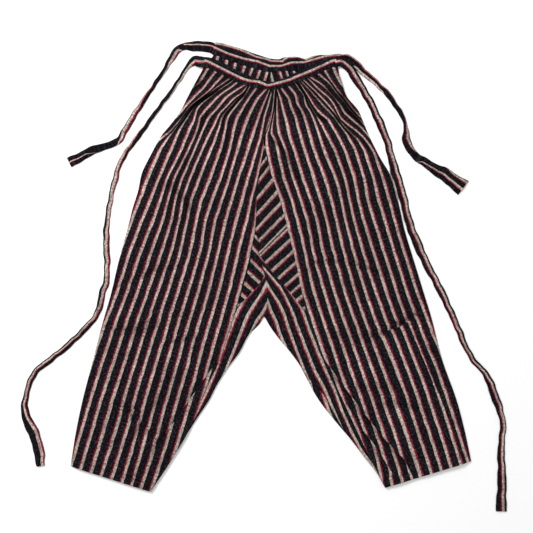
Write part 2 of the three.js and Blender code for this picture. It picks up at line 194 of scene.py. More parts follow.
def cotton(name, cuts=0, pale=1.0):
    """Striped cotton with pale grains in its dark threads. The map `cloth` gives repeats of the stripes across,
    and centimetres along. A float attribute multiplies the colour with painted light: shade in creases, folds,
    hollows, under the waistbands and fronts and in soft patches, lighter towards the waist, and highlight on the
    ties' crests; the pale grains are dimmed with it. At each cut the stripes jump where the cloth is tucked:
    `beyond` is the distance past its line, and `jump` how far they jump in repeats."""
    material, shader = new_material(name)
    place = node(material, "UVMap", {}, uv_map="cloth")

    def compute(kind, *values):
        return node(material, "Math", dict(enumerate(values)), operation=kind)

    def plus(a, b):
        return compute("ADD", a, b)

    def times(a, b):
        return compute("MULTIPLY", a, b)

    def attribute(key):
        return node(material, "Attribute", {}, "Fac", attribute_name=key)

    def noise(scale_across, scale_along, detail=2.0):
        stretched = node(material, "Mapping", {"Scale": (scale_across, scale_along, 1), "Vector": place})
        return node(material, "TexNoise", {"Scale": 1.0, "Detail": detail, "Vector": stretched}, "Fac")

    across = node(material, "SeparateXYZ", {0: place})
    along = across.node.outputs[1]
    wander = times(plus(noise(2.2, 0.55), -0.5), 0.13)
    fray = times(plus(noise(50.0, 5.0, 0.0), -0.5), 0.09)
    place_across = plus(across, plus(wander, fray))
    for i in range(cuts):
        beyond = compute("GREATER_THAN", attribute(f"beyond_{i}"), 0.0)
        place_across = compute("SUBTRACT", place_across, times(beyond, attribute(f"jump_{i}")))
    stripes = colour_ramp(material, compute("FRACT", plus(place_across, 0.5)), [
        (0.0, DARK_COLOUR), (0.234, DARK_COLOUR), (0.254, RED_COLOUR), (0.356, RED_COLOUR),
        (0.376, CREAM_COLOUR), (0.610, CREAM_COLOUR), (0.630, DARK_COLOUR), (1.0, DARK_COLOUR)])

    warp = compute("SINE", times(across, 2 * math.pi * REPEAT / WARP_PITCH))
    weft = compute("SINE", times(along, 2 * math.pi * 10 / WEFT_PITCH))
    twill = compute("SINE", plus(times(across, 2 * math.pi * REPEAT / 2.9), times(along, 2 * math.pi * 10 / 4.4)))
    weave = plus(times(times(warp, weft), 0.5), twill)
    slub = plus(noise(40.0, 1.1), noise(2.2, 14.0))
    fleck = noise(5.4, 2.6, 1.0)
    # painted light and shade from the pieces, which the weave, slubs and flecks then vary
    light = attribute("fade")
    fade = light
    for source, gain, least in ((weave, 0.15, 1.0), (slub, 0.55, 0.45), (fleck, 2.70, -0.35),
                                (noise(0.8, 0.16), 0.44, 0.78)):
        light = times(light, plus(times(source, gain), least))
    shade = node(material, "VectorMath", {0: stripes, "Scale": light}, operation="SCALE")
    grains = compute("MAXIMUM", plus(times(weave, 0.26), plus(times(fleck, 6.4), -3.10)), 0.0)
    # the pale grains, dimmed by the painted shade
    glint = node(material, "VectorMath", {0: [pale * channel for channel in GLINT_COLOUR],
                                          "Scale": times(grains, fade)}, operation="SCALE")
    bumps = node(material, "Bump", {"Strength": 0.35, "Distance": 0.00025, "Height": plus(weave, slub)})
    connect(material, shader, {
        "Base Color": node(material, "VectorMath", {0: shade, 1: glint}, operation="ADD"), "Normal": bumps,
        "Roughness": plus(times(slub, 0.08), 0.78), "Specular IOR Level": 0.05, "Sheen Weight": 0.012,
        "Sheen Roughness": 0.5, "Sheen Tint": (0.75, 0.72, 0.78, 1)})
    return material


def plain(name, colour, roughness, uneven=0.0):
    """A colour without stripes, made uneven by a share of itself in spots of a few millimetres."""
    material, shader = new_material(name)
    inputs = {"Base Color": (*colour, 1), "Roughness": roughness, "Specular IOR Level": 0.2}
    if uneven:
        place = node(material, "TexCoord", {}, "Object")
        spots = node(material, "TexNoise", {"Scale": 260.0, "Vector": place}, "Fac")
        inputs["Base Color"] = colour_ramp(material, spots, [
            (i, [channel * (1 + sign * uneven) for channel in colour]) for i, sign in enumerate((-1, 1))])
    connect(material, shader, inputs)
    return material


cotton_front = cotton("cotton_front", cuts=3)
cotton_back = cotton("cotton_back")
cotton_gusset = cotton("cotton_gusset")
cotton_leg = cotton("cotton_inner_leg")
cotton_band = cotton("cotton_waistband", pale=0.8)
cotton_tie = cotton("cotton_tie", pale=0.5)
thread = plain("thread_dark", (0.030, 0.026, 0.034), 0.7, uneven=0.45)


# ---- meshes

def add(name, data):
    thing = bpy.data.objects.new(name, data)
    bpy.context.scene.collection.objects.link(thing)
    return thing


def smooth_mesh(name, points, faces, material):
    """A mesh in metres about the part's origin, from points in millimetres about the tables'."""
    mesh = bpy.data.meshes.new(name)
    mesh.from_pydata(((points.reshape(-1, 3) + (*SHIFT, 0)) / 1000).tolist(), [], faces)
    mesh.polygons.foreach_set("use_smooth", np.ones(len(mesh.polygons), bool))
    mesh.materials.append(material)
    mesh.update()
    return mesh


def build(name, points, phase, along, material, wall=CLOTH, **values):
    """A grid of points as a smooth sheet facing up. Its place in the cloth, in repeats across and millimetres
    along, becomes a map, and each named value an attribute. `along` is for each row or for each point."""
    rows, columns = points.shape[:2]
    along = along.reshape(rows, -1) * np.ones((rows, columns))
    index = np.arange(rows * columns).reshape(rows, columns)
    a, b = index[:-1, :-1], index[:-1, 1:]
    c, d = index[1:, 1:], index[1:, :-1]
    faces = np.stack([a, b, c, d], -1).reshape(-1, 4)
    ways = points.reshape(-1, 3)[faces[rows // 2 * (columns - 1) + columns // 2]]
    if np.cross(ways[1] - ways[0], ways[3] - ways[0])[2] < 0:
        faces = faces[:, ::-1]
    mesh = smooth_mesh(name, points, faces.tolist(), material)
    flat = np.stack([phase, along / 10], -1).reshape(-1, 2)
    corners = np.zeros(len(mesh.loops), int)
    mesh.loops.foreach_get("vertex_index", corners)
    mesh.uv_layers.new(name="cloth").data.foreach_set("uv", flat[corners].astype(np.float32).ravel())
    for key, value in values.items():
        value = (np.ones(points.shape[:2]) * value).astype(np.float32).ravel()
        mesh.attributes.new(key, "FLOAT", "POINT").data.foreach_set("value", value)
    piece = add(name, mesh)
    solid = piece.modifiers.new("thickness", "SOLIDIFY")
    solid.thickness = wall / 1000
    solid.offset = -1
    return piece


def dress(piece, node):
    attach(piece, "root")
    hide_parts(node)


def along_rows(points):
    """Length down the middle column of a grid, for each of its rows."""
    return lengths(points[:, points.shape[1] // 2])


STITCH_PITCH, STITCH_LENGTH = 4.4, 2.7
STITCH_RINGS = [(0.0, 0.10, -0.20), (0.2, 0.28, 0.08), (0.8, 0.28, 0.08), (1.0, 0.10, -0.20)]
STITCH_SIDES = 6


def stitches(name, lines):
    """Running stitches as small bumps of thread along lines of points. A ring of a stitch is at a share of its
    length, and has a radius and a rise."""
    starts, ends = [], []
    for line in lines:
        line = np.asarray(line, float)
        run = np.concatenate([[0], np.cumsum(np.linalg.norm(np.diff(line, axis=0), axis=1))])
        at = np.arange(0.5 * STITCH_PITCH, run[-1] - STITCH_PITCH, STITCH_PITCH)
        for points, places in ((starts, at), (ends, at + STITCH_LENGTH)):
            points.append(np.stack([np.interp(places, run, line[:, i]) for i in range(3)], -1))
    starts = np.concatenate(starts)
    way = np.concatenate(ends) - starts
    ahead = way / np.linalg.norm(way, axis=1)[:, None]
    side = np.cross(ahead, (0, 0, 1))
    side /= np.linalg.norm(side, axis=1)[:, None]
    turn = np.arange(STITCH_SIDES)[:, None] * 2 * math.pi / STITCH_SIDES
    ring = side[:, None] * np.cos(turn) + np.cross(side, ahead)[:, None] * np.sin(turn)
    points = np.stack([(starts + way * share + (0, 0, rise))[:, None] + radius * ring
                       for share, radius, rise in STITCH_RINGS], 1)
    count = len(STITCH_RINGS) * STITCH_SIDES
    pattern = [(r + k, r + (k + 1) % STITCH_SIDES, r + STITCH_SIDES + (k + 1) % STITCH_SIDES, r + STITCH_SIDES + k)
               for r in range(0, count - STITCH_SIDES, STITCH_SIDES) for k in range(STITCH_SIDES)]
    pattern += [range(STITCH_SIDES - 1, -1, -1), range(count - STITCH_SIDES, count)]
    faces = [[i * count + k for k in face] for i in range(len(starts)) for face in pattern]
    piece = add(name, smooth_mesh(name, points, faces, thread))
    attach(piece, "root")


def beside_edge(points, inset):
    """The line across a grid's rows at a distance in from its last column."""
    line = []
    for row in points:
        back = row[::-1]
        run = lengths(back)
        if run[-1] > 3 * inset:
            line.append([np.interp(inset, run, back[:, i]) for i in range(3)])
    return line


# ---- folds

def within(along, run, start, end, more=0):
    """A share that fades out at both ends of a line."""
    return step(along, 0, start * run + more) * step(run - along, 0, end * run + more)


def relief(xy, folds, soft_side):
    """Height that folds add, and the shade beside them. Each falls softly on one side, sharply on the other."""
    total, shade = np.zeros(xy.shape[:-1]), np.ones(xy.shape[:-1])
    for height, sharp, soft, dark, line in folds:
        signed, along, run = beside(xy, mm(line))
        signed = signed * soft_side
        ends = within(along, run, 0.16, 0.3, 1)
        total = np.maximum(total, height * bell(signed / np.where(signed > 0, soft, sharp)) * ends)
        shade *= 1 - dark * bell((signed + 1.2 * sharp + 1) / (0.8 * sharp + 2)) * ends
    return total, shade


def shadows(xy, strokes):
    """The shade of deep valleys between folds."""
    shade = np.ones(xy.shape[:-1])
    for strength, width, line in strokes:
        signed, along, run = beside(xy, mm(line))
        shade *= 1 - strength * bell(signed / width) * within(along, run, 0.15, 0.2)
    return shade


def creases(xy, lines):
    """Fine pressed creases: their height, their shade, and how far they push the stripes aside."""
    total, shade, push = np.zeros(xy.shape[:-1]), np.ones(xy.shape[:-1]), np.zeros(xy.shape[:-1])
    for height, width, jog, line in lines:
        signed, along, run = beside(xy, mm(line))
        ends = within(along, run, 0.2, 0.2)
        total += height * bell(signed / width) * ends
        shade *= 1 - 0.5 * bell((signed + 1.4 * width) / (1.5 * width)) * ends
        push += jog * (signed / (3 * width)) * bell(signed / (3 * width)) * ends
    return total, shade, push


# ---- front panels

# A row for each section across a panel, from the waistband to the hem: outer x, y and inner x, y.
FRONT_EDGES = {"left": [
    (-124, 433, 11, 386), (-127, 425, 13, 379), (-141, 400, 14, 355), (-157, 371, 10, 320), (-172, 342, -1, 287),
    (-191, 315, -4, 258), (-213, 288, -10, 226), (-235, 248, -16, 178), (-252, 213, -18, 139), (-260, 176, -20, 100),
    (-271, 141, -26, 64), (-279, 109, -31, 31), (-300, 31, -53, -47), (-315, -33, -73, -109), (-332, -92, -92, -168),
    (-350, -162, -123, -234), (-373, -250, -158, -318), (-388, -322, -197, -383), (-398, -387, -234, -439),
], "right": [
    (143, 434, 11, 386), (146, 426, 13, 379), (156, 400, 14, 355), (167, 370, 10, 320), (189, 344, 1.5, 287),
    (201, 318, 2, 256), (213, 289, 8, 226), (234, 247, 23, 182), (258, 206, 35, 144), (270, 166, 47, 96),
    (278, 131, 55, 62), (287, 92, 64, 27), (308, 23, 79, -49), (324, -29, 92, -100), (342, -88, 115, -158),
    (363, -170, 152, -236), (391, -248, 187, -312), (408, -311, 215, -371), (422, -377, 246, -431),
]}

# Cream stripes of a front panel, numbered inwards on the left and outwards on the right: points in px. The bare
# numbers that end a line are its x at the last of these heights.
STRIPE_HEIGHTS = [150, 180, 200, 220, 250]
FRONT_STRIPES = {"left": {
    -3: [(208, 70), (203.5, 77.5), (199.5, 84), (189, 90), (168, 112), (140, 142)],
    -2: [(215, 73.5), (202, 91), (189.3, 103.6), (177.5, 116.5), (168, 124), (148, 142), (122, 180)],
    -1: [(221.5, 78), (209.6, 92), (201.4, 98.4), (191.2, 106.3), (179, 122.6), (170.4, 132.4), (158, 141.2),
        (149, 151), (137, 172)],
    0: [(228, 81), (219.3, 86.8), (210.4, 93.8), (202.6, 98.9), (192.6, 106.8), (180, 123.8), (172, 133.6),
        (168, 138.2), (160.5, 150), (154, 165), 148, 140.3, 132.5, 121],
    1: [(229, 82), (221.4, 87.4), (212.3, 94.2), (204.2, 99.4), (194.6, 106.9), (185.7, 120.7), (179.5, 130.5), 171.5,
        159, 151, 143, 131],
    2: [(230, 83), (222.4, 88), (213.6, 95), (205.6, 100.6), (199.3, 106), (196.6, 112), (194.6, 120.7),
        (189.3, 131.4), 182, 167, 161, 154, 142],
    3: [(236.2, 84), (229, 89.5), (222.8, 93.5), (216, 99.3), (209, 107.3), (200, 118), (198.7, 127), (195.6, 136),
        189, 174.5, 168.5, 163.5, 152.5],
    4: [(244.6, 86.3), (235.7, 91.3), (227.7, 96.6), (221.4, 104.6), (216, 111), (208, 119.8), (205, 126),
        (200.5, 136), 195, 182.2, 175.5, 172.4, 163],
    5: [(246.5, 88.5), (242.9, 94), (235.7, 98), (227.7, 106.8), (219.6, 114.5), (217.2, 119.8), (214.6, 126),
        (209, 136), 202.5, 190, 183, 180, 172.5],
    6: [(247, 89.2), (243.8, 95), (237.5, 99.8), (229.8, 108.5), (222, 118), (219.6, 127), (215.4, 140), 211, 199,
        191.5, 187.5, 181],
    7: [(247.8, 90), (245, 95), (239.8, 102), (230.6, 113.6), (227, 119.8), (226, 127), (223.6, 140), 221, 210, 201.6,
        197, 191],
    8: [(255.8, 89.5), (250, 97.5), (242.9, 109), (237, 120), (234, 130.5), 230, 220.5, 212.5, 206, 201],
    9: [(265.6, 90.8), (257, 100), (250, 113.6), (243.8, 130), 237.5, 229, 222.5, 215.5, 210],
    10: [(267.5, 96), (261.8, 111), (256.5, 125), 248, 238, 232, 226, 219],
    11: [(270.5, 96), (267, 109), (264.5, 117), (263, 127), (260.2, 140.4), 257, 248, 242.4, 236.6, 229],
    12: [(272, 115), (267, 130), (263.5, 148), (260, 165), (256.5, 182), 251.5, 247.4, 239],
    13: [(280, 115), (272, 140), (262, 182), (257.5, 200), (255.6, 222), (250, 250)],
}, "right": {
    -1: [(268, 96), (262, 130), 258, 264, 271, 277, 284],
    0: [(274.8, 93.5), (273.4, 109.3), (269.9, 127), (266.4, 134.8), (266.6, 148), 273.5, 281.5, 286.8, 294],
    1: [(275.8, 94), (274.8, 109), (271.8, 125), (270.8, 134), (275.2, 141), (277.4, 148), 284, 292, 297, 304.5],
    2: [(276.8, 94.5), (276.5, 109), (277, 123.4), (278.7, 134.8), (283, 143.6), 285.3, 293.5, 300.5, 307, 312.3],
    3: [(278.6, 95), (279.6, 98), (283, 111), (287.5, 127), (290.2, 140), 294, 303, 310.5, 316.5, 322.2],
    4: [(281.8, 90), (288.4, 98.7), (290.2, 105.8), (294.6, 116.3), (298.5, 130.4), 304.3, 314, 320.5, 326, 333],
    5: [(289.3, 87.7), (295.5, 95.2), (297.2, 104.9), (302.5, 112.8), (307, 127), 313.7, 325, 331, 336, 343],
    6: [(297.2, 86), (304.3, 96), (305.6, 105.8), (310.4, 112), (315.3, 124), (319, 136), 323.6, 336, 341, 345,
        352.5],
    7: [(298.6, 85.5), (306, 97), (311.5, 108), (316.5, 117), (322, 126.5), (328, 138.3), 334.7, 345, 349, 353.6,
        362],
    8: [(300, 84.5), (307.5, 97), (313.5, 107), (319.5, 114), (328, 120), (336, 134), 344.5, 354, 358, 363, 372.5],
    9: [(301.8, 82.7), (311.3, 92.5), (321.9, 104), (331, 114), (338.6, 123.8), (343, 129.5), (347, 135), 355, 364,
        367.5, 373, 383],
    10: [(304, 81.5), (315, 92), (326, 103.5), (334, 113), (339.4, 121.5), (344, 127.5), (350, 133), (358, 140), 364,
        373.5, 378, 384, 393],
    11: [(309.1, 80.2), (318.3, 90), (328.9, 98.2), (334.6, 106.7), (337.4, 114), (340.5, 120.3), (346.5, 125),
        (355.3, 130.8), (363.2, 137.5), 372.5, 383, 388.5, 394, 403],
    12: [(312, 79.5), (321, 84.5), (327, 89.5), (334, 98.5), (339.5, 105), (343.9, 113.7), (352.7, 120.7),
        (361.5, 127.8), (369.5, 137.5), (380, 150), (393, 180), 404, 413],
    13: [(320, 75.8), (327.1, 81.5), (331, 86), (335, 91.5), (339.3, 97), (345.6, 104), (350, 110.5), (362, 122),
        (375, 138), (400, 180)],
    14: [(325.4, 73.2), (331.5, 82.9), (336.8, 90.8), (344.7, 100), (351.5, 109.3), (362, 119), (385, 138)],
    15: [(333.3, 69.7), (336.8, 77.6), (340.3, 83.8), (348, 92), (362, 110)],
}}

# The same stripes further down, where they run evenly: y in px, x of stripe 5, and their spacing.
FRONT_EVEN = {
    "left": [(290, 159, 10.1), (330, 144.8, 10.5), (370, 132.2, 10.65), (410, 120.3, 10.75),
             (450, 108.8, 10.85), (495, 94.8, 10.9)],
    "right": [(290, 354, 10.3), (330, 368, 10.45), (370, 383, 10.8), (410, 397, 10.75),
              (450, 410, 10.7), (495, 424.5, 10.7)],
}

# Folds: height, how sharply and how softly they fall, how dark the painted shade beside them is, and the line from
# # the waistband down in px.
FRONT_FOLDS = {"left": [
    (3.6, 1.8, 20, 0.55, [(229, 83), (219, 90.5), (207, 97), (199, 101.5), (192.5, 107.5), (183, 121), (177, 128),
        (169, 135.5), (157, 144)]),
    (3.4, 2, 15, 0.65, [(247, 88), (243.5, 95.5), (237, 99.5), (229, 108.5), (221, 117.5), (218.5, 126)]),
    (1.8, 2.2, 9, 0.5, [(226, 99), (217, 110.5), (208.5, 119), (206, 128)]),
    (1.8, 2.6, 10, 0.5, [(203, 112), (199, 120), (197.5, 130), (191, 145)]),
    (1.9, 2, 9, 0.4, [(268, 90), (266.5, 97), (261, 112), (256, 126)]),
    (1.7, 2.6, 10, 0.4, [(256, 89), (249, 100), (242, 112), (236, 124)]),
    (1.6, 2.6, 10, 0.5, [(231, 113), (227, 121), (226, 131), (222, 148), (212, 176)]),
    (1.5, 5, 12, 0.3, [(188, 150), (177, 175), (168, 200), (160, 222)]),
    (1.2, 6, 14, 0.3, [(200, 160), (189, 190), (181, 215), (172, 246)]),
], "right": [
    (3.4, 2, 14, 0.65, [(299, 84), (306.5, 96.5), (312, 107), (317.5, 115.5), (327, 119.5), (331, 124)]),
    (3, 1.8, 14, 0.6, [(303, 82), (314, 92.5), (324.5, 103.5), (333, 113.5), (339.5, 122), (345, 128), (351, 132.5),
        (358, 138), (364, 144)]),
    (3.4, 2.2, 16, 0.75, [(320, 80), (328, 87.5), (333.5, 94), (340, 101.5), (347, 110), (355, 118), (364, 127)]),
    (2.2, 1.8, 9, 0.7, [(270, 133), (275, 140.5), (281, 145), (285.5, 151), (289, 160)]),
    (1.6, 2.2, 8, 0.4, [(277, 95), (276, 108), (274, 121), (270, 132)]),
    (1.6, 2.4, 8, 0.4, [(289, 88), (296, 97), (297.5, 106), (304, 114), (308, 126)]),
    (1.6, 2.4, 8, 0.4, [(282, 90), (289, 99.5), (290.6, 107), (295.5, 118), (300, 131)]),
    (1.6, 3.4, 10, 0.4, [(346, 127), (356, 134), (365, 141), (375, 152), (382, 168)]),
    (1.3, 6, 12, 0.3, [(330, 130), (339, 146), (348, 164), (353, 182), (358, 204)]),
]}

# Pressed creases and the long tucks of the lower legs: height, width, how far the stripes jog in repeats,
# and the line in px.
FRONT_CREASES = {"left": [
    (0.6, 2.2, -0.16, [(103, 329), (136, 326), (166, 309)]),
    (0.6, 2.4, -0.14, [(118, 400), (145, 425), (166, 447)]),
    (0.4, 3, -0.08, [(124, 283), (152, 268), (190, 262)]),
    (0.5, 2.4, -0.1, [(160, 345), (180, 337), (205, 335)]),
    (1, 3, 0, [(217, 361), (199, 385), (180, 413), (165, 435), (152, 453), (135, 479), (130, 488)]),
    (0.7, 3.5, 0, [(176, 372), (160, 400), (140, 430), (120, 462)]),
    (-0.6, 5, 0, [(168, 178), (190, 200), (196, 216)]),
], "right": [
    (0.6, 2.2, 0.16, [(362, 335), (384, 330), (408, 319)]),
    (0.6, 2.4, 0.14, [(424, 341), (438, 353)]),
    (-0.8, 5, 0.1, [(370, 402), (396, 399), (427, 406)]),
    (1, 3, 0, [(322, 356), (343, 385), (364, 413), (382, 436), (404, 459), (412, 475)]),
    (0.7, 2.6, 0, [(358, 423), (376, 448), (386, 470)]),
    (0.4, 3, 0.08, [(300, 262), (340, 258), (388, 272)]),
]}

# Where the stripes jump at a tuck: which side jumps (1 on the left of the line as it runs), how far in px at
# shares along the line, and the line in px.
FRONT_CUTS = {"left": [
    (1, [(0, 3.4), (0.2, 2.9), (0.5, 1.3), (1, -0.6)], [(217, 361), (199, 386), (180, 413), (152, 453), (126, 492)]),
    (-1, [(0, 0), (0.3, 1), (0.8, 1), (1, 0)], [(98, 327), (136, 325.5), (152, 318), (168, 307)]),
    (-1, [(0, 0), (0.3, 0.9), (0.8, 0.9), (1, 0)], [(112, 401), (128, 408), (145, 410)]),
], "right": [
    (-1, [(0, -3), (0.7, -3.4), (0.85, -3.4), (1, -2.4)], [(322, 356), (343, 385), (364, 413), (382, 436), (404, 459),
        (416, 484)]),
    (-1, [(0, 0), (0.25, -2.6), (0.6, -2.8), (0.8, -1), (1, 0)], [(376, 333), (388, 330), (399, 326.5), (407, 321.5),
        (420, 318)]),
    (-1, [(0, -1), (0.4, -4), (0.8, -3), (1, -1)], [(345, 402), (362, 429), (371, 440), (376, 447), (393, 474)]),
]}

# Valleys in deep shade: strength, width in mm, and the line in px.
FRONT_SHADOWS = {"left": [
    (0.93, 4, [(213, 90), (206, 97.5), (197, 103), (190.5, 108.5), (184, 115), (178.5, 120.5), (171, 129),
        (160, 140)]),
    (0.85, 2.8, [(246, 91), (239.5, 98.5), (233, 107), (226, 114), (222.8, 124), (222, 140)]),
    (0.75, 3, [(208, 112), (204.5, 121), (201, 130)]),
    (0.4, 6, [(199, 74), (195, 86), (189, 97)]),
    (0.9, 3.4, [(206, 64), (201.5, 74), (197, 83), (192, 92)]),
    (0.9, 3.4, [(203.5, 80), (199.5, 84.5), (194, 90)]),
    (0.35, 9, [(112, 331), (140, 330), (168, 320)]),
    (0.45, 6, [(112, 398), (127, 406), (142, 408)]),
    (0.3, 9, [(166, 360), (158, 380), (148, 402)]),
], "right": [
    (0.8, 2.2, [(326, 87), (331.5, 95), (335.5, 102), (338, 110)]),
    (0.75, 3.4, [(328, 79), (335, 90), (343.5, 101), (351, 111), (358, 119)]),
    (0.94, 5.2, [(338, 91), (345, 101.5), (351.5, 111), (358.5, 120), (365, 130)]),
    (0.85, 2.4, [(311, 105), (316.5, 116), (322, 120), (330, 122)]),
    (0.7, 2, [(340, 118.5), (345, 127), (352, 134), (359, 140)]),
    (0.55, 5, [(281, 146), (287, 158), (294, 171), (302, 187)]),
    (0.75, 4.5, [(392, 324), (402, 320.5), (410, 315), (420, 313)]),
    (0.4, 12, [(326, 330), (350, 337), (382, 334)]),
    (0.4, 9, [(350, 385), (372, 388), (392, 383)]),
]}

HEM = 14.0
# Painted light on the fronts, from the hem upwards: lighter towards the waist, and the left leg darker than the
# right. y in mm, and the share.
FRONT_PAINTED_LIGHT = {"left": [(-300, 0.84), (150, 0.88), (320, 1.09)],
               "right": [(-150, 0.98), (0, 0.88), (150, 0.87), (320, 1.12)]}
HELD_FRONT, FRONT_LEVEL, SIDE_LEVEL = 5.5, 4.5, 1.5
FINE_ROWS = 13                 # the mesh's rows to a section, near the waist
FRONT_COLUMNS = 168
FAR = 20                       # repeats to which the stripes are carried on past a panel's edges
# The squeeze, in mm to a repeat, at which a tucked stripe is dark with painted shade and the one at which it is light
# again.
TUCKED, OPEN = 3.4, 7.6


def front_line(side, number):
    """The points in px of a stripe of a front panel, from the waistband to the hem."""
    line = FRONT_STRIPES[side][number]
    full = [point for point in line if isinstance(point, tuple)]
    bare = line[len(full):]
    full += zip(bare, STRIPE_HEIGHTS[len(STRIPE_HEIGHTS) - len(bare):])
    return full + [(x5 + (number - 5) * gap, y) for y, x5, gap in FRONT_EVEN[side] if y > full[-1][1] + 15]


def stripe_places(side, outer, inner):
    """For each row of a panel, where each numbered stripe crosses it, in millimetres from the outer edge."""
    way = inner - outer
    width = np.hypot(way[:, 0], way[:, 1])
    way = way / width[:, None]
    down = np.stack([way[:, 1], -way[:, 0]], -1) * (1 if side == "left" else -1)
    found = {}
    for number in FRONT_STRIPES[side]:
        points = mm(front_line(side, number))
        points = np.concatenate([[2 * points[0] - points[1]], points, [2 * points[-1] - points[-2]]])
        off = points[None] - outer[:, None]
        below = (off * down[:, None]).sum(2)
        across = (off * way[:, None]).sum(2)
        found[number] = soften(np.array([np.interp(0, b, a) for a, b in zip(across, below)])[:, None], 3)[:, 0]
    return found, width


def front_panel(side):
    sign = -1 if side == "left" else 1
    fine = np.concatenate([np.arange(0, 8, 1 / FINE_ROWS), np.arange(8, 17, 1 / 12), np.arange(17, 18, 1 / 24), [18]])
    edges = read_rows(FRONT_EDGES[side], fine)
    outer, inner = edges[:, :2], edges[:, 2:]
    found, width = stripe_places(side, outer, inner)
    numbers = sorted(found, reverse=side == "right")
    places = np.stack([found[n] for n in numbers])
    for i in range(1, len(numbers)):
        places[i] = np.maximum(places[i], places[i - 1] + 0.5)
    grid = np.zeros((len(fine), FRONT_COLUMNS, 2))
    phase = np.zeros((len(fine), FRONT_COLUMNS))
    signed = np.array(numbers, float) * -sign
    for i in range(len(fine)):
        known = np.concatenate([[places[0, i] - FAR * REPEAT], places[:, i], [places[-1, i] + FAR * REPEAT]])
        stripes = np.concatenate([[signed[0] - FAR], signed, [signed[-1] + FAR]])
        first, last = np.interp([0, width[i]], known, stripes)
        across = np.linspace(first, last, FRONT_COLUMNS)
        at = np.interp(across, stripes, known)
        grid[i] = outer[i] + (inner[i] - outer[i]) * (at / width[i])[:, None]
        phase[i] = across
    grid = soften(grid, 1)
    cuts = {}
    for i, (jumping, jumps, line) in enumerate(FRONT_CUTS[side]):
        off, along, run = beside(grid, mm(line))
        shares, amounts = np.array(jumps).T
        there = (along > 1e-6) & (along < run - 1e-6)
        cuts[f"beyond_{i}"] = np.where(there, off * jumping, -5.0)
        cuts[f"jump_{i}"] = np.interp(along / run, shares, amounts) * PX / REPEAT
    from_side = distance(grid, outer[:, None])
    squeezed = np.abs(np.gradient(from_side, axis=1) / np.gradient(phase, axis=1))
    squeezed = np.minimum(squeezed, np.roll(squeezed, 1, 1))

    place = fine[:, None]
    to_inner = np.maximum(width[:, None] - from_side, 0)
    free = step(place, 1.3, 2.2)
    at_side = mix(HELD_FRONT, SIDE_LEVEL, step(place, 1.3, 4))
    inside = step(to_inner, 2, 22)
    middle = mix(HELD_FRONT, FRONT_LEVEL, free) + 0.6 * inside * free
    level = mix(at_side, middle, step(from_side, 0, 24))
    edge_hold = step(from_side, 0, 10) * step(to_inner, 0, 12)
    folds, fold_shade = relief(grid, FRONT_FOLDS[side], sign)
    gather = step(place, 1.0, 1.8) * (1 - step(place, 2.2, 5.5))
    pleats = 0.9 * gather * (0.5 - 0.5 * np.cos(2 * np.pi * (phase + 0.1)))
    soft = 0.75 * ripple(grid, 95, 1 if sign < 0 else 4)
    soft += 0.35 * ripple(grid, 38, 2 if sign < 0 else 7)
    lines, line_shade, push = creases(grid, FRONT_CREASES[side])
    phase = phase + push
    phase = phase + 0.022 * ripple(grid, 58, 11 + sign)
    # Painted shade: under the waistband, in the valleys of the gathers, beside folds and creases, in soft patches, on
    # squeezed stripes tucked under folds, down the legs and in the deep valleys.
    shade_under_band = 1 - 0.45 * bell((place - 1.15) / 0.35)
    fade = fold_shade * line_shade * shade_under_band * (1 - 0.25 * gather * (0.5 + 0.5 * np.cos(2 * np.pi * phase)))
    fade = fade * (1 + 0.17 * ripple(grid, 62, 3))
    fade = fade * (0.03 + 0.97 * step(squeezed, TUCKED, OPEN))
    fade = fade * np.interp(grid[..., 1], *np.array(FRONT_PAINTED_LIGHT[side]).T)
    fade = fade * shadows(grid, FRONT_SHADOWS[side])
    height = level + WALL + free * edge_hold * (folds + pleats + soft + 0.35 + lines)
    height -= 0.9 * (1 - step(from_side, 0, 3.5)) + 0.35 * (1 - step(to_inner, 0, 2.5))
    to_hem = distance(grid, grid[-1])
    height += 0.45 * (1 - step(to_hem, HEM, HEM + 2.5))
    # painted shade just past the edge of the turned-up hem
    fade = fade * (1 - 0.35 * bell((to_hem - HEM - 1.5) / 1.8))
    points = xyz(grid, height)
    seam = beside_edge(points[5 * FINE_ROWS:], 2.2)
    hem = beside_edge(points.transpose(1, 0, 2), HEM - 2)
    stitches(f"stitches_front_{side}", [seam, hem])
    piece = build(f"cloth_front_{side}", points, phase, along_rows(points), cotton_front, fade=fade, **cuts)
    dress(piece, f"front_{side}")


# ---- back panels

BACK_EDGES = {"left": [
    (-104, 462, 12, 430), (-106, 455, 12, 419), (-121, 432, 11, 391), (-135, 408, 10, 357), (-156, 370, 8, 312),
    (-190, 313, 6, 256), (-233, 246, 4, 178), (-259, 176, 2, 96), (-279, 109, 0, 24), (-300, 31, -1, -76),
    (-315, -33, -37, -122), (-332, -92, -75, -173), (-350, -162, -108, -238), (-373, -250, -159, -318),
    (-388, -322, -198, -383), (-398, -387, -235, -439),
], "right": [
    (149, 441, 12, 429), (150, 431, 12, 419), (153, 414, 11, 391), (155, 393, 10, 357), (165, 370, 8, 312),
    (199, 315, 6, 256), (233, 247, 4, 178), (268, 166, 2, 96), (286, 92, 0, 24), (308, 23, -1, -76),
    (324, -29, 31, -121), (342, -88, 69, -177), (363, -170, 110, -252), (391, -248, 169, -325),
    (408, -311, 213, -376), (422, -377, 246, -431),
]}
# Cream stripes inside the waist, seen between the waistbands: x in px where y is 68 px, which is 428 mm, and how
# far they lean inwards to each millimetre down.
BACK_STRIPES_Y, BACK_LEAN = 428, 0.32
BACK_STRIPES = {"left": [205, 214.5, 225, 234.5, 244.5, 252.5, 261, 268.5],
                "right": [279, 285.5, 293, 301, 310, 320, 331]}


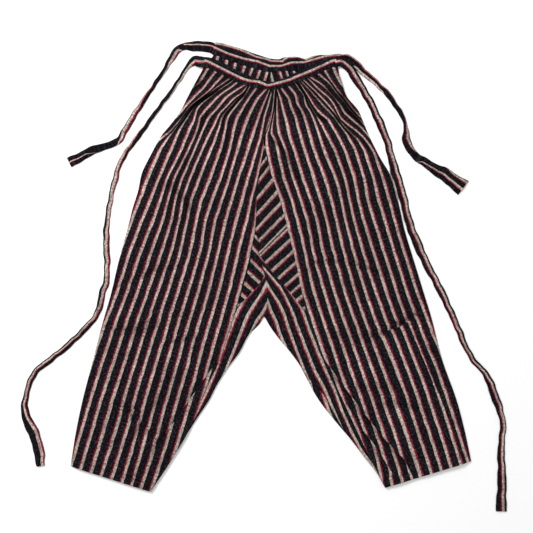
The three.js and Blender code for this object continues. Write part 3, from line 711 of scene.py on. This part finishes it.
def back_panel(side):
    sign = -1 if side == "left" else 1
    fine = np.concatenate([np.arange(0, 4, 1 / 16), np.arange(4, 15, 1 / 8), [15]])
    edges = read_rows(BACK_EDGES[side], fine)
    edges[:, 0] -= sign * 1.0
    edges[:, 2] += sign * SEAM_GAP
    share = np.linspace(0, 1, 130)
    grid = ruled(edges, share)
    place = fine[:, None]
    known = mm([(x, 68) for x in BACK_STRIPES[side]])[:, 0]
    known = np.concatenate([[known[0] - 10 * REPEAT], known, [known[-1] + 10 * REPEAT]])
    numbers = np.concatenate([[-10], np.arange(len(known) - 2), [len(known) + 7]])
    lean = grid[..., 0] - (grid[..., 1] - BACK_STRIPES_Y) * BACK_LEAN * -sign
    gathered = np.interp(lean, known, numbers)
    even = -sign * distance(grid, edges[:, None, :2]) / REPEAT
    between = (fine > 3) & (fine < 7)
    even = even + np.round((gathered - even)[between].mean())
    phase = mix(gathered, even, step(place, 3, 7))
    in_band = 1 - step(place, 1.3, 1.9)
    gather = step(place, 1.2, 1.9) * (1 - step(place, 2.2, 4))
    wave = 0.5 - 0.5 * np.cos(2 * np.pi * 8 * share)
    folds = 1.5 * wave * gather * step(share, 0.04, 0.16)
    fine_wave = 0.35 * gather * (1 + np.sin(2 * np.pi * gathered * 2 + 0.7))
    level = np.maximum(1.3 * in_band, folds) + WALL + fine_wave * step(share, 0.04, 0.16)
    points = xyz(grid, level)
    # painted shade in the valleys of the gathers below the waistband
    shade = 1 - 0.5 * step(place, 1.2, 1.8) * (1 - step(place, 3, 5)) * (0.55 + 0.45 * np.cos(2 * np.pi * gathered))
    wall = WALL - 0.15
    piece = build(f"cloth_back_{side}", points, phase, along_rows(points), cotton_back, wall=wall, fade=shade)
    dress(piece, f"back_{side}")


# ---- crotch: inner-leg pieces and gusset

MIDDLE_SEAM = [(-2, -80), (3, -64), (5, -47), (5, -27), (2, -8), (-1, 5), (-6, 25), (-12, 45), (-13, 72),
               (-20, 98)]
# The fold at the inseam and the upper edge, from the crotch to the hem.
INNER_LEGS = {"left": [
    (-2, -80, -1, 5), (-6, -84, -11, -14), (-12, -91, -27, -31), (-20, -100, -39, -45), (-30, -113, -51, -55),
    (-39, -127, -58, -64), (-53, -154, -78, -94), (-76, -185, -95, -150), (-97, -217, -113, -187),
    (-115, -252, -129, -226), (-137, -285, -153, -275), (-168, -334, -184, -325), (-197, -383, -212, -375),
    (-234, -439, -249, -434),
], "right": [
    (-2, -80, -12, 45), (1, -84, 2, 27), (5, -91, 17, 8), (12, -103, 35, -12), (22, -117, 52, -33),
    (33, -131, 68, -53), (47, -147, 84, -74), (66, -172, 105, -111), (88, -205, 120, -148), (115, -234, 137, -185),
    (139, -273, 158, -229), (161, -312, 174, -273), (185, -344, 197, -312), (207, -373, 212, -346),
    (228, -400, 234, -381), (246, -431, 260, -424),
]}
LEG_SEAM_ROWS = {"left": 6, "right": 8}
# Painted shade on the inner legs and the gusset, which lie under the fronts.
LEG_PAINTED_SHADE, GUSSET_PAINTED_SHADE = 0.92, 0.74
# The cloth turned under at the inseam: how far in from the fold, and its height.
TURNED_UNDER = [(9, 2.3), (5, 2.1), (2, 2.1), (0.4, 2.3), (-0.5, 2.75)]

# Cream stripes of the inner-leg pieces in px, numbered from the inseam outwards.
LEG_STRIPES = {"left": {
    2: [(264.5, 268), (263.8, 276.7), (258.9, 282.3), (251.8, 290.7), (244.8, 298.4), (238.5, 309.7), (232.9, 321.6),
        (222.5, 350), (215.5, 370), (207.5, 390), (198, 410), (184, 435)],
    1: [(266.2, 282), (261.7, 292.8), (254.6, 303.4), (247.6, 315.3), (241.5, 330), (234, 350), (226, 370),
        (216, 392), (196, 425)],
    0: [(267.3, 303), (263, 311.8), (256, 321.6), (250, 335), (242, 352), (222, 392)],
}, "right": {
    0: [(265.5, 296), (268, 301.3), (271.5, 311.8), (276.4, 321.6), (280, 334), (290, 356)],
    1: [(262.5, 277), (265.9, 281.6), (270, 289.3), (278.5, 302), (284, 313.2), (288.8, 328), (296.5, 350),
        (305, 372), (314, 392)],
    2: [(264.5, 268), (270.8, 276), (280.5, 287), (286.2, 297.8), (291, 308.3), (299, 330), (306.6, 350),
        (314.5, 370), (325, 389), (333, 408), (340, 424)],
    3: [(258.9, 254.5), (265.9, 262.6), (272.9, 270.3), (279.9, 277.3), (289.7, 291.3), (296, 299.8), (301.6, 307.5),
        (309.4, 330), (317.1, 350), (325.5, 370), (334.5, 390), (341.5, 410), (351, 431), (361, 450), (373, 466)],
}}


def run_on(line, far=100.0):
    """A line in px with its last stretch carried on."""
    (xa, ya), (xb, yb) = line[-2:]
    length = math.hypot(xb - xa, yb - ya)
    return line + [(xb + (xb - xa) * far / length, yb + (yb - ya) * far / length)]


def stripe_phase(grid, stripes, sign):
    """Repeats across the cloth at each point, from the distances to the two stripes beside it."""
    numbers = sorted(stripes)
    offs = [beside(grid, mm(run_on(stripes[n])))[0] * sign for n in numbers]
    phase = numbers[0] + offs[0] / REPEAT
    for low, high, near, far in zip(numbers[:-1], numbers[1:], offs[:-1], offs[1:]):
        share = np.clip(near / np.maximum(near - far, 1e-6), 0, 1)
        phase = np.where(near > 0, low + (high - low) * share, phase)
    return np.where(offs[-1] > 0, numbers[-1] + offs[-1] / REPEAT, phase)


def inner_leg(side):
    sign = -1 if side == "left" else 1
    seam = np.array(MIDDLE_SEAM[:LEG_SEAM_ROWS[side]], float)
    seam[:, 0] += sign * SEAM_GAP
    table = INNER_LEGS[side]
    fine = np.linspace(0, len(table) - 1, 150)
    edges = read_rows(table, fine)
    share = np.linspace(0, 1, 30)
    along = lengths(seam) / lengths(seam)[-1]
    curve = np.stack([np.interp(share, along, seam[:, i]) for i in (0, 1)], -1)
    bow = curve - mix(seam[0], seam[-1], share[:, None])
    bowed = np.clip(1 - fine / 4, 0, 1)[:, None, None]
    grid = ruled(edges, share) + bowed * bow
    from_fold = share * np.hypot(*(grid[:, -1] - grid[:, 0]).T)[:, None]
    level = CROTCH_LEVEL + WALL - 0.9 * (1 - step(from_fold, 0, 3.5))
    top = xyz(grid, level + 0.22 * ripple(grid, 40, 5) * step(from_fold, 2, 8))
    fold = grid[:, 0]
    inwards = grid[:, 2] - fold
    inwards /= np.hypot(*inwards.T)[:, None]
    turned = [xyz(fold + inwards * run, np.full(len(fold), height)) for run, height in TURNED_UNDER]
    points = np.concatenate([np.stack(turned, 1), top], 1)
    phase_top = stripe_phase(grid, LEG_STRIPES[side], sign)
    back = np.maximum([run for run, _ in TURNED_UNDER], 0)
    phase = np.concatenate([phase_top[:, :1] - back / REPEAT, phase_top], 1)
    # painted shade under the fronts, in soft patches
    fade = LEG_PAINTED_SHADE * (1 + 0.12 * ripple(points, 50, 8))
    stitches(f"stitches_inner_leg_{side}", [beside_edge(top[:100], 2.0)])
    name = f"cloth_inner_leg_{side}"
    piece = build(name, points, phase, along_rows(points), cotton_leg, wall=THIN, fade=fade)
    dress(piece, f"inner_leg_{side}")


# Cream stripes of the gusset in px: left end and right end of each, from the top down.
GUSSET_STRIPES = {"right": [
    (257.5, 143, 263.7, 133), (259.3, 154.8, 265, 146.5), (258.6, 168, 266.3, 158.5), (256, 184, 267.5, 168.8),
    (256, 199.4, 272, 180.6), (257.3, 214, 277, 192.4), (257.3, 228, 280.3, 203.2), (259.6, 240, 283.4, 215.9),
    (262, 250.5, 286.2, 225.9), (259.6, 255.4, 286.9, 229.3), (265.9, 262, 289.7, 240.2),
    (272.9, 269.7, 291.8, 252.2), (279.9, 276.7, 293.9, 264), (286.2, 284.4, 296.7, 275.3),
    (291.8, 292, 298.8, 285.8), (297.4, 299.4, 302, 295.4),
], "left": [
    (252, 222, 259.5, 229), (256, 237.4, 258.9, 240.7), (254, 249.4, 258.2, 253.8), (251, 260.6, 263, 273.2),
    (248.3, 272.5, 258.9, 282.3), (244.8, 283.7, 252.5, 290.7), (242, 295.2, 246.5, 299.2), (239, 306, 244, 310.4),
]}
GUSSET_GAP = 14.0              # px between the stripes beyond the table's first and last
SEAM_STRIPE = 8                # the right gusset's stripe above its cross seam
GUSSET_SEAM = [(258, 258), (273, 243), (288, 229)]
GUSSET_TOP = [(-6, 2, 268), (-18, 16, 230), (-25, 33, 178), (-27, 46, 137)]
GUSSET_RIGHT_EDGE = [(54, 98), (61.5, 72), (68, 45), (72, 27), (76, 8), (80, -12), (84, -33), (88, -53), (92, -74)]
GUSSET_LEFT_EDGE = [(-29, 98), (-31, 72), (-36, 45), (-40, 25), (-45, 5), (-50, -14), (-55, -31), (-59, -45),
                    (-63, -55), (-65, -64)]


def line_phase(grid, side):
    """Repeats across the stripes of the gusset, from the two lines above and below each point."""
    px = CENTRE_PX[0] + grid[..., 0] / PX
    py = CENTRE_PX[1] - grid[..., 1] / PX
    rows = GUSSET_STRIPES[side]
    heights = [y0 + (y1 - y0) * (px - x0) / (x1 - x0) for x0, y0, x1, y1 in rows]
    number = (py - heights[0]) / GUSSET_GAP
    for i in range(len(rows) - 1):
        gap = np.maximum(heights[i + 1] - heights[i], 0.5)
        number = np.where(py > heights[i], i + np.minimum((py - heights[i]) / gap, 1), number)
    number = np.where(py > heights[-1], len(rows) - 1 + (py - heights[-1]) / GUSSET_GAP, number)
    if side == "left":
        return number
    part = number - SEAM_STRIPE
    jump = np.where(part < 0.55, part * 0.42, 1 - (1 - part) * 0.36)
    return -np.where((part > 0) & (part < 1), SEAM_STRIPE + jump, number)


def gusset(side):
    if side == "right":
        left = [(a, y) for a, _, y in GUSSET_TOP] + [(x + 0.6, y) for x, y in MIDDLE_SEAM[9:6:-1]]
        left += [(x, y) for _, _, x, y in INNER_LEGS["right"][1:7]]
        right = [(b, y) for _, b, y in GUSSET_TOP] + GUSSET_RIGHT_EDGE
    else:
        right = [(x - 0.6, y) for x, y in MIDDLE_SEAM[9:4:-1]]
        right += [(x, y) for _, _, x, y in INNER_LEGS["left"][1:6]]
        left = GUSSET_LEFT_EDGE
    rows = np.array([(*a, *b) for a, b in zip(left, right)], float)
    fine = np.linspace(0, len(rows) - 1, 110)
    grid = ruled(read_rows(rows, fine), np.linspace(0, 1, 46))
    level = CROTCH_LEVEL + WALL + 0.22 * ripple(grid, 46, 9)
    if side == "right":
        level += 0.7 * bell(beside(grid, mm(GUSSET_SEAM))[0] / 3.0)
    phase = line_phase(grid, side)
    along = grid[..., 0] * 0.7 + grid[..., 1] * (0.7 if side == "right" else -0.7)
    # painted shade under the fronts, in soft patches
    fade = GUSSET_PAINTED_SHADE * (1 + 0.12 * ripple(grid, 40, 6))
    piece = build(f"cloth_gusset_{side}", xyz(grid, level), phase, along, cotton_gusset, wall=THIN, fade=fade)
    dress(piece, f"gusset_{side}")


# ---- waistbands

BANDS = {"front": [
    (-126, 428, 22), (-114, 426, 22), (-100, 419, 23), (-84, 411, 23), (-69, 403, 23), (-53, 396, 22), (-37, 391, 21),
    (-19, 386, 19), (-2, 384, 17), (13, 382, 16), (31, 385, 18), (47, 389, 19), (68, 398, 20), (87, 406, 21),
    (112, 416, 21), (124, 423, 21), (136, 428, 21), (147, 429.5, 20),
], "back": [
    (-109, 456, 25), (-96, 452, 28), (-80, 445, 30), (-56, 437, 31), (-37, 431, 30), (-19, 426, 29), (0, 421, 28),
    (12, 420, 27), (31, 421, 25), (43, 422, 28), (62, 422, 29), (85, 421, 26), (108, 426, 28), (130, 429, 26),
    (150, 434, 23), (158, 435, 22),
]}
BAND_BASE = {"back": 0.25, "front": 4.2}
BAND_TURNS = (-70, -35, 0, 35, 70)     # degrees round the fold at a waistband's top
# The cream stripes of the waistbands, from the lowest up: their width in mm, and their line in px.
BAND_CREAM = {"front": [
    (4.6, [(193, 61), (203, 61), (209, 62.5), (224, 70.2), (240.6, 78.5), (248.5, 81.3), (259, 82.3), (267, 85.8),
        (271, 85.4), (280, 83), (289.3, 80.3), (298.4, 76.4), (310.5, 71.5), (322.6, 66), (331.7, 61.5), (337, 60.6),
        (342, 62)]),
], "back": [
    (3.9, [(180, 44.5), (198, 45), (211.5, 46.5), (228.5, 54), (244, 59), (257.5, 61.8), (270, 66.2), (281, 66.2),
        (291.5, 62.8), (304, 62.4), (325, 56.4), (340, 55)]),
    (3.4, [(200, 40.5), (212, 43.4), (222.4, 44.9), (231.5, 47.3), (240.6, 50.1), (249.7, 54), (257, 57.2),
        (264.8, 58.8), (271, 61), (282, 61.6), (287, 57.6), (298.4, 57), (306, 59.6), (312.3, 57.2), (322, 53.4),
        (340, 52.5)]),
]}
CREAM = 6.05                   # the cream stripe's full width


def nearest_stripe(offsets, widths, numbers):
    """Repeats across for stripes side by side, each squeezed to its own width; a width of 0 means no stripe."""
    phase = np.full(offsets[0].shape, 0.45)
    best = np.full(offsets[0].shape, 1e9)
    for number, offset, width in zip(numbers, offsets, widths):
        here = offset / (REPEAT * np.maximum(width, 0.05) / CREAM)
        away = np.where(np.asarray(width) > 0.1, np.abs(offset) - width, 1e8)
        phase = np.where(away < best, number + np.clip(here, -0.45, 0.45), phase)
        best = np.minimum(away, best)
    return phase


def waistband(name):
    rows = BANDS[name]
    fine = np.linspace(0, len(rows) - 1, 190)
    stations = read_rows(rows, fine)
    lower, width = stations[:, :2], stations[:, 2]
    up = left_of(lower)
    inside = WALL / 2 + 0.3
    middle = BAND_BASE[name] + 1.0 + inside
    outside = inside + 1.0
    length = lengths(lower)
    wave = np.sin(length / 6.1) + 0.7 * np.sin(length / 3.7 + 1.3) + 0.6 * np.sin(length / 11.3 + 0.4)
    level = np.ones(len(fine))
    shares = np.linspace(0, 0.9, 10)
    columns = [(share * width, level * (middle - outside + 0.12)) for share in shares]
    for turn in BAND_TURNS:
        angle = math.radians(turn)
        columns.append((width - outside * (1 - math.cos(angle)) + 0.2,
                        level * (middle + (outside - 0.1) * math.sin(angle))))
    over = np.concatenate([[0.95], np.linspace(0.88, 0.1, 14), [0.04, 0.0]])
    for share in over:
        pucker = 0.30 * wave * math.sin(math.pi * share) + 0.25 * (1 - share) * np.sin(length / 4.3)
        swell = 0.45 * math.sin(math.pi * share)
        sink = 0.7 * (share < 0.02)
        columns.append((share * width, middle + outside + swell + pucker - sink))
    points = np.stack([xyz(lower + up * run[:, None], height) for run, height in columns], 1)
    offsets = [beside(points[..., :2], mm(line))[0] for _, line in BAND_CREAM[name]]
    phase = nearest_stripe(offsets, [stripe for stripe, _ in BAND_CREAM[name]], range(len(offsets)))
    under = len(shares) + 2
    turned_in = distance(points[:, under:under + 1, :2], points[:, :under, :2])
    phase[:, :under] = phase[:, under:under + 1] + turned_in / REPEAT
    # painted shade in the hollows of the puckers
    fade = 1 - 0.22 * np.clip(-wave, 0, 1)[:, None] * np.ones(points.shape[:2])
    both_edges = [points[2:-2, -3], points[2:-2, under + 4]]
    stitches(f"stitches_waistband_{name}", both_edges)
    piece = build(f"cloth_waistband_{name}", points, phase, length, cotton_band, wall=0.55, fade=fade)
    dress(piece, f"waistband_{name}")


# ---- ties

# Down the middle of a tie from its waistband: x, y, width, and its lift where it doesn't lie on the surface.
TIES = {"back_left": [
    (-106.9, 468.5, 22, 0.4), (-116, 471.3, 22), (-143, 473, 20), (-164, 471.5, 15), (-180.5, 464, 15),
    (-196, 441, 11.5), (-214, 412, 8), (-231, 387, 8.5), (-247, 364, 10), (-262, 342, 11.5), (-277, 317, 11.5),
    (-287, 299, 13), (-299, 281, 13), (-320, 270, 14), (-343, 264, 16), (-365, 253, 18), (-385, 242, 20),
    (-401, 234, 20),
], "front_left": [
    (-124.7, 439, 21, 4.6), (-134, 440.5, 22, 3.4), (-145, 442, 20, 1.2), (-158, 431, 10.5), (-170, 414, 8.5),
    (-186, 388, 8.5), (-204, 363, 8.5), (-223, 339, 8.5), (-241, 314, 8.5), (-257, 291, 10), (-273, 271, 10),
    (-288, 250, 10), (-299, 229, 10), (-306, 202, 11), (-314, 172, 10), (-320, 141, 10), (-324, 109, 11),
    (-325, 70, 13), (-324, 27, 12), (-325, -9, 12), (-334, -36, 14), (-342, -70, 12), (-360, -97, 12),
    (-383, -121, 12), (-411, -146, 12), (-443, -172, 12), (-472, -197, 12), (-486, -228, 11), (-492, -260, 13),
    (-489, -287, 19), (-478, -311, 22), (-465, -348, 22), (-459, -387, 18),
], "back_right": [
    (158.6, 446, 20, 0.4), (168, 446.5, 20), (185, 436, 19), (206, 417, 14.5), (229, 396, 12.5), (248, 378, 12),
    (262, 361, 11), (273, 344, 10.5), (282, 329, 9), (287, 314, 7.5), (288, 300, 11), (289, 284, 16), (295, 266, 17),
    (307, 250, 16), (323, 238, 17), (346, 222, 22), (374, 206, 28), (406, 182, 34),
], "front_right": [
    (146.6, 439.5, 19, 4.8), (157, 440, 20, 4.2), (169, 431, 19, 3.6), (180, 417, 18, 2.8), (189, 402, 17, 0.8),
    (198, 387, 16), (216, 357, 15), (233, 321, 16), (248, 283, 15), (256, 256, 14), (263, 229, 18), (271, 200, 19),
    (279, 173, 18), (287, 143, 17), (297, 105, 17), (313, 65, 18), (331, 27, 16), (348, -6, 15), (365, -39, 15),
    (381, -72, 13), (395, -105, 13), (408, -137, 12), (428, -171, 11), (453, -201, 13), (467, -234, 17),
    (479, -266, 15), (487, -300, 12), (484, -350, 14), (485, -416, 18), (484, -480, 22),
]}
# The cream stripes that show on a tie, each with its number. In each: the row of the tie's table, the stripe's
# place across, from -1 to 1 with 1 on the left as the tie runs out, and its width in mm. A stripe comes and goes
# over an edge. The red lies on the side given first.
TIE_STRIPES = {"back_left": (1, [
    (0, [(0, -0.3, 2.4), (2, -0.3, 2.4), (3, -0.5, 2.2), (3.3, -1.3, 1)]),
    (-1, [(3.35, 1.3, 4), (3.8, 0.25, 5), (4.6, 0.2, 5.5), (5.3, 0.7, 3.5), (6, 1.05, 2), (6.5, 1.3, 1)]),
    (0, [(6.5, -1.3, 2), (7, -1, 3), (8, -0.85, 4), (9, -0.5, 6), (10, -0.35, 6.5), (11, -0.25, 6.5), (12, 0.3, 4),
        (12.5, 1.3, 1)]),
    (0, [(14, 1.3, 0.6), (15, 0.1, 1), (16, 0, 1.8), (17, 0, 2.4)]),
]), "front_left": (1, [
    (0, [(0, -0.1, 5), (2, 0, 5), (3, 0.6, 4.5), (4, 0.65, 4.5), (5, 0.8, 3), (6, 1, 2.5), (7.6, 1.05, 2),
        (8, 1.3, 1)]),
    (1, [(8.1, -1.3, 2), (9, -1, 3), (10, -0.7, 4), (11, -0.55, 4.8), (12, -0.35, 5.5), (13, -0.1, 6), (14, 0.1, 6),
        (15, 0.2, 5.5), (16, 0.3, 5), (17, -0.1, 6), (18, -0.1, 6), (19, 0, 6), (20, 0.2, 5), (21, -0.2, 4.6),
        (22, -0.45, 3.6), (23, -0.3, 2.8), (24, -0.4, 2.8), (25, -0.4, 3.2), (26, -0.3, 3.6), (28, -0.1, 4),
        (29, 0.2, 4.4), (30, 0.45, 6), (31, 0.4, 6), (32, 0.45, 5.6)]),
]), "back_right": (-1, [
    (0, [(1.5, -1.3, 1), (2, -0.6, 3.5), (3, -0.6, 5), (4, -0.6, 4.5), (4.8, -0.8, 2), (5.2, -1.3, 1)]),
    (1, [(0, 0.95, 3), (1, 0.9, 3.4), (4, 1, 4), (6, 1, 2.5), (8, 1, 1.6), (8.8, 0.8, 1.6), (10, 0.55, 4),
        (11, 0.5, 5), (12, 0.6, 4), (12.8, 0.9, 2), (13.2, 1.3, 1)]),
    (0, [(13.4, -1.3, 1), (14, -0.3, 1.6), (15, 0, 3), (16, -0.1, 4.2), (17, -0.2, 5)]),
    (1, [(15.2, 1.3, 1), (16, 0.88, 2.6), (17, 0.75, 5.5)]),
]), "front_right": (-1, [
    (0, [(9.5, -1.3, 1), (10, -1, 2.4), (14, -1, 2.4), (14.6, -1.3, 1)]),
    (1, [(0, 0.1, 4.6), (2, 0.2, 4.8), (8, 0.25, 5), (10, 0.4, 5.2), (13, 0.45, 5), (16, 0.35, 4.8), (19, 0.2, 4.6),
        (20, 0.1, 5), (21, 0.1, 4), (22, 0, 3.2), (23, 0.1, 3.5), (24, 0.4, 4.6), (27, 0.3, 4.6), (29, 0.35, 5.2)]),
])}
TIE_EDGE, TIE_MIDDLE = 1.4, 3.0
TIE_TUCK = 3.5                 # how far a tie reaches in under its waistband


def tie(name):
    rows = [(*row, 0)[:4] for row in TIES[name]]
    last = len(rows) - 1
    fine = np.linspace(0, last, 14 * last)
    path = read_rows(rows, fine)
    centre = path[:, :2]
    centre[0] -= TIE_TUCK * (centre[1] - centre[0]) / math.hypot(*(centre[1] - centre[0]))
    side = left_of(centre)
    length = lengths(centre)[:, None]
    seed = len(name) + last
    settled = step(length, 12, 40)
    wobble = 0.5 * np.sin(length / 6.7 + seed) + 0.35 * np.sin(length / 3.9 + 2 * seed)
    centre = centre + side * settled * (wobble + 0.4 * np.sin(length / 17.0 + seed))
    width = path[:, 2:3] / 2 * (1 + 0.05 * settled * np.sin(length / 8.3 + 3 * seed))
    lift = np.maximum(path[:, 3:4], 0)
    top = np.linspace(-1, 1, 21)
    crown = TIE_EDGE + (TIE_MIDDLE - TIE_EDGE) * (1 - np.abs(top) ** 2.6) + 0.1
    ridge = 0.42 * np.sin(top * 5.2 + length / 31 + seed) * (1 - top ** 4)
    ridge = ridge + 0.26 * np.sin(length / 9.3 + 2 * top + seed) * (1 - top ** 2)
    ridge = ridge + 0.16 * np.sin(length / 4.1 - 3 * top + seed) * (1 - top ** 2)
    across = top * (width + 0.15)
    over = xyz(centre[:, None] + side[:, None] * across[..., None], lift + crown + ridge)
    under = np.linspace(1, -1, 7)
    below = xyz(centre[:, None] + side[:, None] * (under * (width - 0.2))[..., None], lift + 0.25 + 0 * under)
    points = np.concatenate([over, below], 1)
    red_side, stripes = TIE_STRIPES[name]
    offsets, widths = [], []
    for _, stripe in stripes:
        at, place, wide = np.array(stripe, float).T
        there = (fine >= at[0] - 0.02) & (fine <= at[-1] + 0.02)
        offsets.append(-red_side * (across - np.interp(fine, at, place)[:, None] * width))
        widths.append(np.repeat((np.interp(fine, at, wide) * there)[:, None], across.shape[1], 1))
    phase_over = nearest_stripe(offsets, widths, [number for number, _ in stripes])
    for i in range(1, len(phase_over)):
        if not any(wide[i, 0] for wide in widths):
            phase_over[i] = phase_over[i - 1]
    phase_under = phase_over[:, -1:] - red_side * (width - under * width) / REPEAT
    phase = np.concatenate([phase_over, phase_under], 1)
    # painted shade in the troughs of the ridges and painted highlight on their crests
    fade = 1 + 0.6 * np.clip(np.concatenate([ridge, np.zeros(below.shape[:2])], 1), -0.7, 0.15)
    stitches(f"stitches_tie_{name}", [over[:, 3 if red_side > 0 else 17]])
    piece = build(f"cloth_tie_{name}", points, phase, length, cotton_tie, wall=0.5, fade=fade)
    dress(piece, f"tie_{name}")


# ---- the garment

for side in ("left", "right"):
    back_panel(side)
    inner_leg(side)
    gusset(side)
    front_panel(side)
waistband("back")
waistband("front")
for name in TIES:
    tie(name)


# ---- floor, light and camera

def floor():
    mesh = bpy.data.meshes.new("floor")
    mesh.from_pydata([(-3, -3, 0), (3, -3, 0), (3, 3, 0), (-3, 3, 0)], [], [(0, 1, 2, 3)])
    mesh.materials.append(plain("floor_paper", (0.97, 0.97, 0.97), 0.9))
    add("floor", mesh)


def area_light(name, place, turn, size, power):
    data = bpy.data.lights.new(name, "AREA")
    data.shape = "RECTANGLE"
    data.size, data.size_y = size
    data.energy = power
    light = add(name, data)
    light.location = place
    light.rotation_euler = [math.radians(a) for a in turn]


floor()
area_light("key", (-1.3, 1.3, 1.7), (-47, 0, 45), (1.0, 0.8), 52)
area_light("fill", (1.2, -1.4, 2.2), (42, 0, 40), (2.0, 1.6), 9)

scene = bpy.context.scene
scene.view_settings.view_transform = "Standard"
world = bpy.data.worlds.new("studio")
world.use_nodes = True
background = world.node_tree.nodes["Background"]
background.inputs[0].default_value = (1, 1, 1, 1)
background.inputs[1].default_value = 0.58
scene.world = world

camera_data = bpy.data.cameras.new("camera")
camera_data.lens, camera_data.sensor_width = 60.0, 36.0
camera = add("camera", camera_data)
middle_x, middle_y = mm((PHOTO_SIDE / 2, PHOTO_SIDE / 2)) + SHIFT
camera_height = PHOTO_SIDE * PX * camera_data.lens / camera_data.sensor_width
camera.location = (middle_x / 1000, middle_y / 1000, camera_height / 1000)
scene.camera = camera
